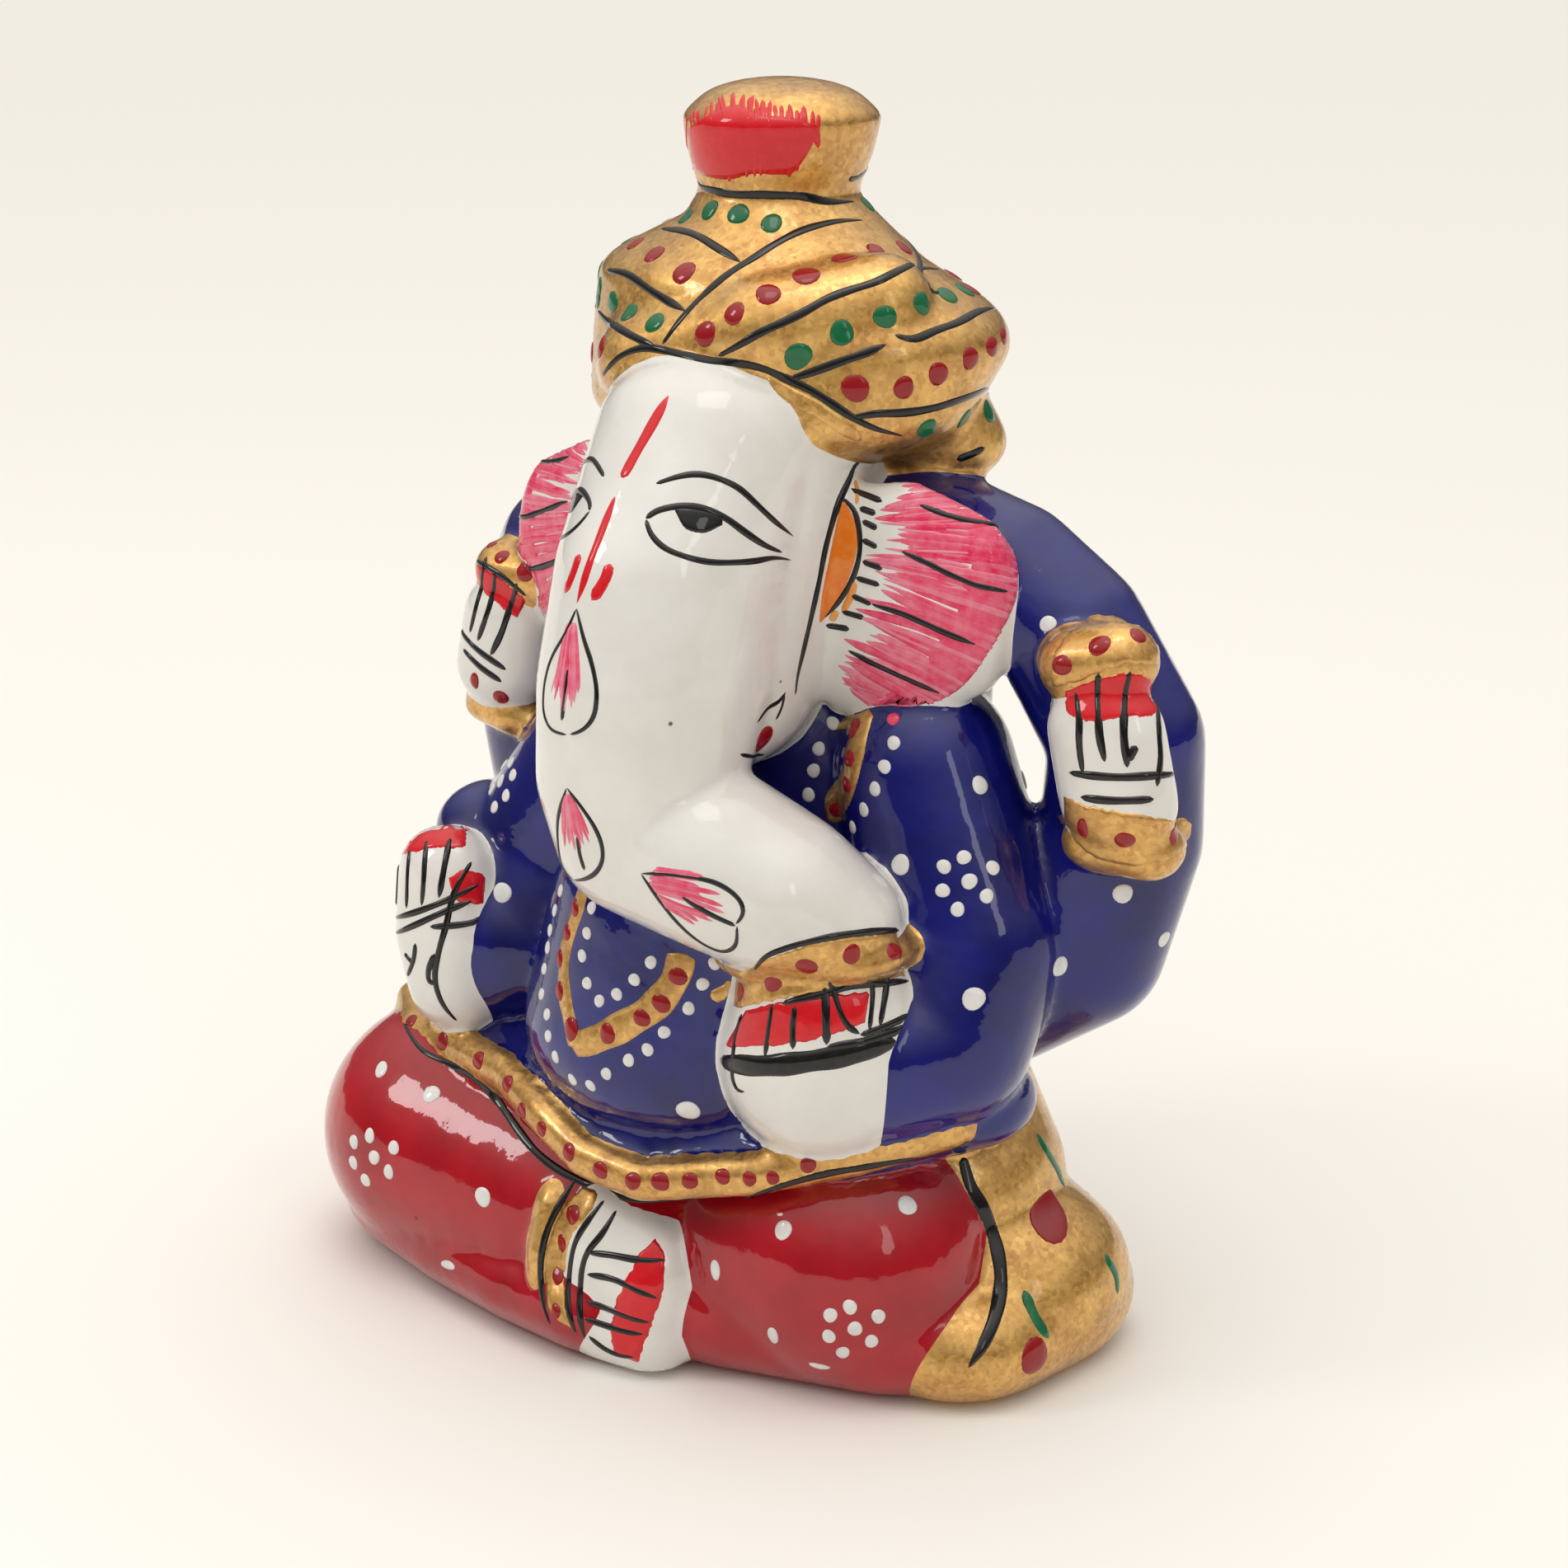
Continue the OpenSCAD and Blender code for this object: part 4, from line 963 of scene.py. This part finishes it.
paintDots("tunic_white", tunic, tunicPaint["singles"])
paintDots("tunic_white", tunicRight, tunicPaint["singles"][1:7])
paintFlower("tunic_white", tunic, *tunicPaint["flower"])
paintFlower("tunic_white", tunicRight, *tunicPaint["flower"])
for a, b in tunicPaint["back flowers"]:
    paintFlower("tunic_back_white", tunicBack, a, b)
paintDots("tunic_back_white", tunicBack, tunicPaint["back dots"], radius=0.75)
paintDots("tunic_white", tunic, [(-18.6, 63.5, 0.6), (-21, 34, 0.85)])

necklace = {
    "left strand": [(-13.5, 35.4), (-13.9, 34), (-14.5, 32.2), (-15.1, 30.4), (-15.3, 28.4),
        (-15.2, 26.6), (-14.8, 24.8), (-14.3, 22.6)],
    "right strand": [(-14.6, 22.7), (-13.2, 23.1), (-11.6, 23.9), (-10, 24.8), (-8.2, 26), (-6.9, 27.4),
        (-6.1, 28.9), (-5.8, 30.4)],
    "red dots": [(-14.2, 33.5, 0.6, 0.8), (-14.9, 31.5, 0.6, 0.8), (-15.5, 29.4, 0.6, 0.8),
        (-15.5, 26.9, 0.6, 0.9), (-14.6, 24, 0.8, 1.1), (-11.6, 23.9, 0.8, 0.95),
        (-8.9, 25.3, 0.8, 0.8), (-7.4, 26.5, 0.85, 0.85), (-6.1, 28.6, 0.8, 0.85)],
    "white dots": [(-15.6, 34.7), (-16.1, 33.1), (-16.5, 31.5), (-16.7, 30.1), (-17, 28.4),
        (-17.2, 26.4), (-16.7, 24.9), (-16.6, 23.2), (-16, 21.6), (-14.6, 19.9), (-12.9, 33.6),
        (-13.3, 31.6), (-13.7, 29.8), (-13.3, 27.7), (-12.3, 26.4), (-10.9, 27), (-9.5, 28.2),
        (-8.2, 29.6), (-13.1, 19.6), (-11.8, 20.7), (-10, 21.9), (-8.5, 22.8), (-7.2, 24.2),
        (-5.3, 26.1), (-4.2, 28), (-3.3, 29.6)],
    "daub": [(-3.6, 26.9), (-2.4, 27.5), (-1.4, 28.2)],
}
brushLine("necklace_gold", tunic, necklace["left strand"], 1.7, ends=(0.8, 0.9), lift=0.14)
brushLine("necklace_gold", tunic, necklace["right strand"], 2.5, ends=(0.7, 0.9), lift=0.15)
brushLine("necklace_gold", tunic, necklace["daub"], 1.1, ends=(0.8, 0.8))
paintDots("necklace_darkred", tunic, necklace["red dots"], lift=0.26)
paintDots("necklace_white", tunic, necklace["white dots"], radius=0.52)

tassel = {
    "strip": [(8.5, 49.6), (7.9, 47.8), (7.3, 45.6), (6.9, 43.5), (6.3, 41.6), (5.8, 40.1)],
    "red dots": [(7.5, 47.5, 0.95), (7.1, 45.2, 0.8), (6.9, 43.2, 0.75), (6.2, 41.2, 0.7)],
    "white dots": [(6.4, 49.8), (5.9, 47.9), (4.8, 45.9), (4.4, 44.2), (4, 42.3), (10.3, 46.4),
        (9.6, 44.6), (8.9, 42.9), (8.1, 41.3), (7.3, 39.9)],
}
for side, canvas in (("left", tunic), ("right", tunicRight)):
    brushLine("tassel_" + side + "_gold", canvas, tassel["strip"], 2.9, ends=(0.7, 0.35), lift=0.14)
    paintDots("tassel_" + side + "_darkred", canvas, tassel["red dots"], lift=0.26)
    paintDots("tassel_" + side + "_white", canvas, tassel["white dots"], radius=0.56)
    paintDot("tassel_" + side + "_pink", canvas, 10.3, 48.2, 0.55)
print("tunic painted")

rearHand = {
    "top": ([(21.5, 51.3), (21.9, 53.2), (23.3, 54.8), (25.4, 55.9), (27.4, 55.5), (29, 54.2),
        (29.6, 52.8)], [(21.7, 50.4), (24, 51), (25.2, 51.6), (26.8, 52.1), (29.2, 52)]),
    "top dots": [(22.3, 52.1, 0.9), (24.9, 53.5, 0.95), (27.7, 54.2, 0.8)],
    "tips": ([(22.5, 50.1), (24.1, 50.8), (25.6, 51.3), (27.6, 51.5), (29.3, 50.8), (30.1, 49.3)],
        [(22.6, 48.7), (23.6, 48), (24.5, 47.9), (26.9, 48.2), (28.9, 48.4), (30, 49.2)]),
    "lines": [[(23.3, 50.2), (23.5, 48.5), (23.5, 46.4), (23.8, 44.2)], [(24.8, 51.5), (24.8, 49.2),
        (24.9, 46.8), (25.3, 45)], [(27, 51.6), (26.7, 49.5), (26.6, 46.8), (26.9, 44.6)],
        [(29.2, 50.9), (29.2, 48.8), (29.3, 46.8), (29.4, 45.4), (29.1, 43.2)], [(26.9, 45.1),
        (27.5, 46.2)], [(22.9, 44.2), (24.5, 44), (26.1, 43.9), (28.6, 44), (30.6, 44.1)],
        [(23.7, 42.4), (25.4, 42.2), (27.1, 42.2), (28.9, 42.3)]],
    "band": ([(22.6, 42.5), (23.7, 42), (25.3, 41.6), (28, 41.2), (29.8, 40.8), (31.6, 40.8),
        (32.7, 40.4)], [(22.8, 40.6), (23.9, 38.6), (25.4, 37.7), (27.6, 37.3), (30, 37.7),
        (31.5, 38.3), (32.6, 39.4)]),
    "band dots": [(24, 40.1, 0.6, 1), (26.9, 39.3, 0.85, 0.85), (30.6, 39.6, 0.8, 0.9)],
}
rearHandRight = {
    "top dots": [(-22, 62.8, 0.5), (-21, 61.7, 0.7), (-18.9, 60.4, 0.9)],
    "tips": ([(-23.4, 61.3), (-21.3, 60.2), (-18.9, 58.3)], [(-23.6, 60.2), (-22, 58.2),
        (-19.7, 56.5)]),
    "lines": [[(-22.3, 61.8), (-23.1, 58.3), (-23.9, 55.5)], [(-21.4, 60.6), (-22.1, 57.6),
        (-23.2, 54.8)], [(-19.6, 59.5), (-20.4, 57.3), (-21.2, 55.2), (-22.1, 53.6)], [(-23.3, 61.5),
        (-21.3, 60.3), (-18.9, 58.4)], [(-25, 55.9), (-23.5, 54.3), (-22, 53.2), (-20.8, 52.4)],
        [(-24.6, 54.2), (-23.2, 52.8), (-21.2, 51.4)]],
    "band dots": [(-23.6, 51.5, 0.5, 0.8), (-21.4, 50.1, 0.75, 0.75)],
}
palm = canvasOn("rear_hand_left", "rear_attribute_left", "rear_bangle_left")
wristArea = canvasOn("rear_hand_left", "rear_attribute_left", "rear_bangle_left", "rear_arm_left")
paintPatch("rear_hand_left_gold", wristArea, *rearHand["band"], lift=0.1, ragged=0.12)
paintPatch("rear_hand_left_gold", wristArea, *rearHand["top"], lift=0.1, ragged=0.12)
paintPatch("rear_hand_left_red", palm, *rearHand["tips"], ragged=0.1)
paintDots("rear_hand_left_darkred", wristArea, rearHand["top dots"] + rearHand["band dots"], lift=0.24)
brushLines("rear_hand_left_black", palm, rearHand["lines"], 0.55, ends=(0.6, 0.5), lift=0.13)
palmRight = canvasOn("rear_hand_right", "rear_attribute_right", "rear_bangle_right")
paintPatch("rear_hand_right_red", palmRight, *rearHandRight["tips"], ragged=0.1)
paintDots("rear_hand_right_darkred", palmRight, rearHandRight["top dots"] + rearHandRight["band dots"])
brushLines("rear_hand_right_black", palmRight, rearHandRight["lines"], 0.5, ends=(0.6, 0.5), lift=0.13)

blessing = {
    "tips": ([(-30, 36.8), (-28.1, 37.3), (-25.6, 37.6), (-23.9, 37.6)], [(-29.4, 38.4), (-28.3, 39.6),
        (-26, 40.2), (-24, 39.3)]),
    "thumb": ([(-25.4, 35.3), (-24.3, 35.9), (-22.3, 35.5)], [(-25.2, 34.4), (-24.3, 33.1),
        (-22.5, 33.2)]),
    "lines": [[(-28.8, 37.6), (-29, 35), (-29.1, 32.6)], [(-27.3, 38.4), (-27.5, 35), (-27.7, 32.9)],
        [(-25.3, 38.6), (-25.7, 36.2), (-26.2, 33.6)], [(-23.5, 36.6), (-25, 33.8), (-25.6, 31.4),
        (-26.3, 29.1), (-26.7, 26.9), (-26, 24.5), (-25, 23.2)], [(-30.1, 36.3), (-30.3, 34.5),
        (-30.2, 32.7)], [(-30.3, 31.7), (-27.9, 32.5), (-24.5, 33.9), (-22.8, 34.8)], [(-30.3, 30.4),
        (-27.9, 31.5), (-25.5, 32.6), (-23.4, 33.4)], [(-27, 31.2), (-24.5, 31.4), (-22.2, 31.8)],
        [(-28.3, 29.8), (-28.6, 28.2), (-29.3, 26.8)], [(-29.4, 28.8), (-28.7, 28.1)], [(-26.6, 29),
        (-27.3, 27.3), (-27.2, 26.4), (-26.4, 26.7)]],
}
hand = canvasOn("blessing_hand")
paintPatch("blessing_hand_red", hand, *blessing["tips"], ragged=0.1)
paintPatch("blessing_hand_red", hand, *blessing["thumb"], ragged=0.15)
brushLines("blessing_hand_black", hand, blessing["lines"], 0.48, ends=(0.6, 0.3), lift=0.14)

cupped = {
    "band": ([(-1.6, 29), (0.3, 30.4), (2.1, 31.2), (4.3, 31.8), (6.9, 32.2), (10.4, 32.3)],
        [(-1.9, 26.2), (-0.6, 26.6), (1.2, 27.2), (5, 27.9), (8.3, 28.5), (11.1, 28.9)]),
    "band dots": [(-1.2, 27.7, 0.5, 0.95), (1.2, 28.5, 0.8, 0.95), (3.6, 30, 0.95, 0.95),
        (6.9, 30.9, 0.8, 0.85), (10.1, 30.9, 0.8, 0.8)],
    "band line": [(-0.3, 29.5), (0.4, 30.6), (2.1, 31.4), (4.3, 32), (6.9, 32.4), (8.9, 32.5),
        (10.6, 32.4)],
    "tips": ([(-0.9, 26.4), (1.1, 27), (5, 27.7), (8.4, 28)], [(-2.7, 23.2), (0, 23.6), (2.6, 24),
        (5, 24.6), (8, 25.6)]),
    "lines": [([(1.8, 27), (5, 27.9), (6.9, 28.4), (9.1, 28.5), (11.4, 28.5)], 0.6), ([(-1.2, 26),
        (-1.7, 24.2), (-1.9, 22.6), (-1.8, 20.5), (-1.4, 19.9), (-1, 20.1)], 0.45), ([(1.1, 27),
        (0.8, 25), (0.5, 22.9)], 0.45), ([(2.8, 27), (2.6, 25.3), (2.6, 23.6)], 0.55), ([(5, 28.5),
        (5.05, 26.6), (5.1, 24)], 0.7), ([(5.2, 29), (5.7, 27.8), (6.2, 26.2), (6.9, 25.2),
        (7.6, 24.8)], 0.5), ([(8.6, 28.8), (8.5, 27), (8.3, 25)], 0.38), ([(9.8, 29.2), (9.5, 27.6),
        (9.1, 25.3)], 0.5), ([(-2.9, 22.1), (0, 22.2), (3.5, 22.7), (6.9, 23.3), (8.6, 23.7),
        (10.5, 24.1)], 1.5), ([(5.1, 23.8), (7.8, 24.2), (10.2, 24.8), (11.4, 25.1)], 0.6),
        ([(7.6, 24.7), (9.6, 25.3), (11.6, 26)], 0.5)],
}
lap = canvasOn("cupped_hand", "sweet_bowl", "head_and_trunk")
paintPatch("cupped_hand_gold", lap, *cupped["band"], lift=0.1, ragged=0.12)
paintPatch("cupped_hand_red", lap, *cupped["tips"], ragged=0.1)
brushLine("cupped_hand_black", lap, cupped["band line"], 0.5, ends=(0.5, 0.8), lift=0.16)
paintDots("cupped_hand_darkred", lap, cupped["band dots"], lift=0.24)
for line, width in cupped["lines"]:
    brushLine("cupped_hand_black", lap, line, width, ends=(0.6, 0.3), lift=0.14)
print("hands painted")

hem = {
    "dots": [(-29.6, 22.6, 0.75), (-26.5, 21.3, 0.85), (-23.1, 20.2, 0.85), (-20.4, 18.7, 0.8),
        (-19, 16.8, 0.75), (-17.3, 15.6, 0.7), (-15, 14.1, 0.8), (-12.4, 12.9, 0.8), (-9.8, 12.3, 0.8),
        (-7.6, 12.4, 0.85), (-5.3, 12.6, 0.75), (-2.75, 13.1, 0.7), (-0.7, 13, 0.65), (1.1, 13.1, 0.6),
        (3.8, 14.2, 0.7), (6.9, 15.1, 0.75), (9.4, 16.3, 0.9), (12.1, 17, 0.8), (14.6, 17.4, 0.85)],
    "line": [(-30.3, 22.4), (-28.2, 20.4), (-25.5, 19.4), (-23.4, 18.4), (-21.5, 16.9), (-20, 15.2),
        (-18.2, 13.3), (-16.3, 12), (-14.4, 11.2), (-12.3, 10.5), (-9.9, 10.1), (-7.1, 10.2),
        (-3.5, 10.8), (0.2, 11.8), (2, 12.5), (3.8, 13.1), (6.1, 13.7), (8.7, 14.1), (11, 14.4),
        (12.9, 14.6), (14.9, 14.9), (16.4, 15.6)],
}
skirt = canvasOn("waist_hem", "right_leg", "left_leg")
for a, b, radius in hem["dots"]:
    paintDot("hem_darkred", canvasOn("waist_hem"), a, b, radius * 0.9, radius)
brushLine("hem_black", skirt, hem["line"], 0.62, ends=(0.4, 0.8), lift=0.1)

legPaint = {
    "flowers": [(-32.2, 11.6), (7.4, 1.3)],
    "singles": [(-31.8, 18.8, 0.6, 0.85), (-27.2, 17.1, 0.8, 0.8), (-22.5, 9.3, 0.8, 0.85),
        (-25.8, 3, 0.9, 0.4), (-3.4, 5, 0.5, 0.85), (1.9, 8.8, 0.75, 0.8), (11.5, 10.7, 0.85, 0.75),
        (17.2, 1.9, 0.45, 0.9), (1.1, 0.2, 0.5, 0.9), (4.7, -2.2, 0.85, 0.35)],
}
legs = canvasOn("right_leg", "left_leg")
for a, b in legPaint["flowers"]:
    paintFlower("legs_white", legs, a, b, 0.56, 0.64)
paintDots("legs_white", legs, legPaint["singles"])
drapeLine = [(16.1, 13.7), (16.6, 11.7), (17.5, 10), (18.3, 8.2), (18.9, 5.8), (19, 3.8), (18.4, 1.7),
    (17.3, -0.4), (16.2, -2)]
seam = canvasOn("left_leg", "drape")
brushLine("drape_black", seam, drapeLine, 1.0, ends=(0.6, 0.2), lift=0.1)

drapePaint = {
    "buds": [(23.1, 8.6, 1.8, 2.6), (21.6, -1.6, 1.5, 1.6)],
    "leaves": [[(22.3, 15), (23.4, 13.2), (24.4, 11.4), (24.9, 10.2)], [(20.8, 3.4), (21.6, 1.4),
        (22.8, -0.4)], [(27.6, 5.4), (28.6, 3.8), (28.8, 2)]],
    "back sprigs": [(-22, 6), (-10, 9), (2, 5.5), (14, 9), (26, 6)],
}
drapeSide = canvasOn("drape")
paintDots("drape_left_darkred", drapeSide, drapePaint["buds"], lean=8)
brushLines("drape_left_green", drapeSide, drapePaint["leaves"], 1.0, ends=(0.3, 0.1))
drapeBack = canvasOn("drape", azimuth=180, elevation=0)
for a, b in drapePaint["back sprigs"]:
    paintDot("drape_back_darkred", drapeBack, a, b, 1.5, 2.1, lean=8)
    for way in (-1, 1):
        leaf = [(a + way * 1.6, b + 2.6), (a + way * 2.6, b + 3.6), (a + way * 3, b + 5)]
        brushLine("drape_back_green", drapeBack, leaf, 1.0, ends=(0.3, 0.1))

footPaint = {
    "toes": ([(-8.1, 7.3), (-9.2, 6.4), (-10.1, 4.8), (-11, 3), (-11.6, 1.1), (-11.8, -1),
        (-11.6, -2.3)], [(-7.4, 6.2), (-7.4, 4), (-8.1, 1.2), (-9, -1.4), (-9.6, -3)]),
    "toe lines": [[(-13.6, 5.8), (-11.8, 5.8), (-9.6, 5.6), (-7.3, 5.6)], [(-13.7, 4), (-11.5, 3.9),
        (-9.6, 3.2), (-7.9, 2.6)], [(-13.8, 1.8), (-11.8, 1.3), (-9.9, 0.8), (-8.5, 0.6)],
        [(-13.9, 0.4), (-12.2, 0), (-9.9, -0.4), (-9, -0.4)], [(-13.6, -1), (-12.5, -1.9),
        (-11.3, -2.4), (-9.8, -2.4)]],
    "ankle lines": [[(-11.3, 9.2), (-12.4, 7.4), (-13.7, 5.7), (-14.2, 3.7), (-14.3, 1.8), (-14.2, 0.1),
        (-13.9, -1.3)], [(-12.3, 9.9), (-13.5, 8.4), (-14.6, 6.6), (-15.1, 4.4), (-15.3, 2.5),
        (-15.1, 0.6), (-14.6, -0.9)], [(-14.6, 11.5), (-16.2, 8.9), (-17.1, 6.8), (-17.5, 4.8),
        (-17.5, 2.4), (-17.1, 0.6), (-16.7, -0.4)]],
    "anklet": ([(-14.2, 10.8), (-15.7, 9), (-16.6, 7.3), (-17.1, 5.3), (-17.2, 3.4), (-17, 1.2),
        (-16.2, 0.1)], [(-12.7, 10.6), (-13.3, 9), (-14.6, 7.4), (-15.3, 5.3), (-15.6, 3.2),
        (-15.4, 1.1), (-14.9, -0.5)]),
    "anklet dots": [(-14.8, 8.6, 0.9, 0.9), (-15.7, 6.2, 0.62, 0.8), (-16.1, 3.5, 0.55, 0.85),
        (-16.2, 0.9, 0.5, 0.7)],
}
sole = canvasOn("foot", "anklet", "right_leg")
paintPatch("foot_gold", sole, *footPaint["anklet"], lift=0.1, ragged=0.1)
paintPatch("foot_red", canvasOn("foot", "right_leg", "left_leg"), *footPaint["toes"], ragged=0.1)
brushLines("foot_black", sole, footPaint["toe lines"], 0.5, ends=(0.4, 0.2), lift=0.13)
brushLines("foot_black", sole, footPaint["ankle lines"], 0.5, ends=(0.4, 0.3), lift=0.14)
paintDots("foot_darkred", sole, footPaint["anklet dots"], lift=0.24)
print("legs painted")

paintFinishes = {
    "black": ("blackPaint", None),
    "red": ("redPaint", "red_enamel"),
    "darkred": ("darkRedPaint", "red_enamel"),
    "green": ("greenPaint", None),
    "orange": ("orangePaint", None),
    "pink": ("pinkPaint", "pink_enamel"),
    "white": ("whitePaint", "white_enamel"),
    "gold": ("goldPaint", "gold_paint"),
}
# the coats that stand for a member of their own
standsFor = {
    "necklace_gold": "necklace",
    "tassel_left_gold": "pendant_left",
    "tassel_right_gold": "pendant_right",
}
for name, bm in pots.items():
    finishPiece(bm, name, *paintFinishes[name.split("_")[-1]], node=standsFor.get(name))
print("paint finished:", len(pots), "coats")

studio = {
    "keyPower": 0.45,
    "fillPower": 0.12,
    "topPower": 0.25,
    "walls": 0.1,
    "ceiling": 1.85,
    "backdrop": 0.86,
}


def areaLight(name, place, aim, width, height, power):
    lamp = bpy.data.lights.new(name, "AREA")
    lamp.shape = "RECTANGLE"
    lamp.size, lamp.size_y = width, height
    lamp.energy = power
    holder = bpy.data.objects.new(name, lamp)
    holder.location = place
    holder.rotation_euler = (Vector(aim) - Vector(place)).to_track_quat("-Z", "Y").to_euler()
    bpy.context.scene.collection.objects.link(holder)


def setStudio():
    bpy.context.scene.view_settings.view_transform = "Standard"
    world = bpy.data.worlds.new("studio")
    world.use_nodes = True
    # a bright ceiling over darker walls
    tree = world.node_tree
    sky = tree.nodes["Background"]
    sky.inputs["Color"].default_value = (1.0, 0.975, 0.93, 1)
    place = tree.nodes.new("ShaderNodeTexCoord")
    split = tree.nodes.new("ShaderNodeSeparateXYZ")
    tree.links.new(place.outputs["Generated"], split.inputs["Vector"])
    height = addNode(tree, "ShaderNodeMath", operation="POWER", use_clamp=True)
    height.inputs[1].default_value = 1.8
    tree.links.new(split.outputs["Z"], height.inputs[0])
    rise = addNode(tree, "ShaderNodeMapRange", To_Min=studio["walls"], To_Max=studio["ceiling"])
    tree.links.new(height.outputs["Value"], rise.inputs["Value"])
    # the camera sees the ground's own tone where the ground ends
    ray = tree.nodes.new("ShaderNodeLightPath")
    shown = addNode(tree, "ShaderNodeMix", data_type="FLOAT", B=studio["backdrop"])
    tree.links.new(ray.outputs["Is Camera Ray"], shown.inputs["Factor"])
    tree.links.new(rise.outputs["Result"], shown.inputs["A"])
    tree.links.new(shown.outputs["Result"], sky.inputs["Strength"])
    bpy.context.scene.world = world
    areaLight("topSoftbox", (0.05, -0.1, 0.55), (0, 0, 0.03), 0.2, 0.2, studio["topPower"])
    areaLight("keySoftbox", (-0.35, -0.35, 0.4), (0, 0, 0.05), 0.11, 0.16, studio["keyPower"])
    areaLight("fillSoftbox", (0.5, -0.25, 0.3), (0, 0, 0.05), 0.08, 0.2, studio["fillPower"])
    floor = bmesh.new()
    bmesh.ops.create_grid(floor, x_segments=1, y_segments=1, size=6)
    mesh = bpy.data.meshes.new("floor")
    floor.to_mesh(mesh)
    floor.free()
    finish, tree, shader = newFinish("paleFloor")
    shader.inputs["Base Color"].default_value = (0.90, 0.875, 0.83, 1)
    shader.inputs["Roughness"].default_value = 0.75
    mesh.materials.append(finish)
    ground = bpy.data.objects.new("floor", mesh)
    bpy.context.scene.collection.objects.link(ground)


setStudio()


cameraStand = {
    "azimuth": 34,
    "away": 225,
    "height": 117,
    "turn": 33.45,
    "tip": -17.77,
    "lens": 67.5,
}


def setCamera():
    camera = bpy.data.cameras.new("camera")
    camera.lens = cameraStand["lens"]
    camera.sensor_width = 36
    camera.clip_start = 0.01
    holder = bpy.data.objects.new("camera", camera)
    azimuth = math.radians(cameraStand["azimuth"])
    away = cameraStand["away"]
    holder.location = toModel(away * math.sin(azimuth), -away * math.cos(azimuth), cameraStand["height"])
    turn, tip = math.radians(cameraStand["turn"]), math.radians(cameraStand["tip"])
    look = Vector((-math.sin(turn) * math.cos(tip), math.cos(turn) * math.cos(tip), math.sin(tip)))
    holder.rotation_euler = look.to_track_quat("-Z", "Y").to_euler()
    bpy.context.scene.collection.objects.link(holder)
    bpy.context.scene.camera = holder


setCamera()
print("studio set")
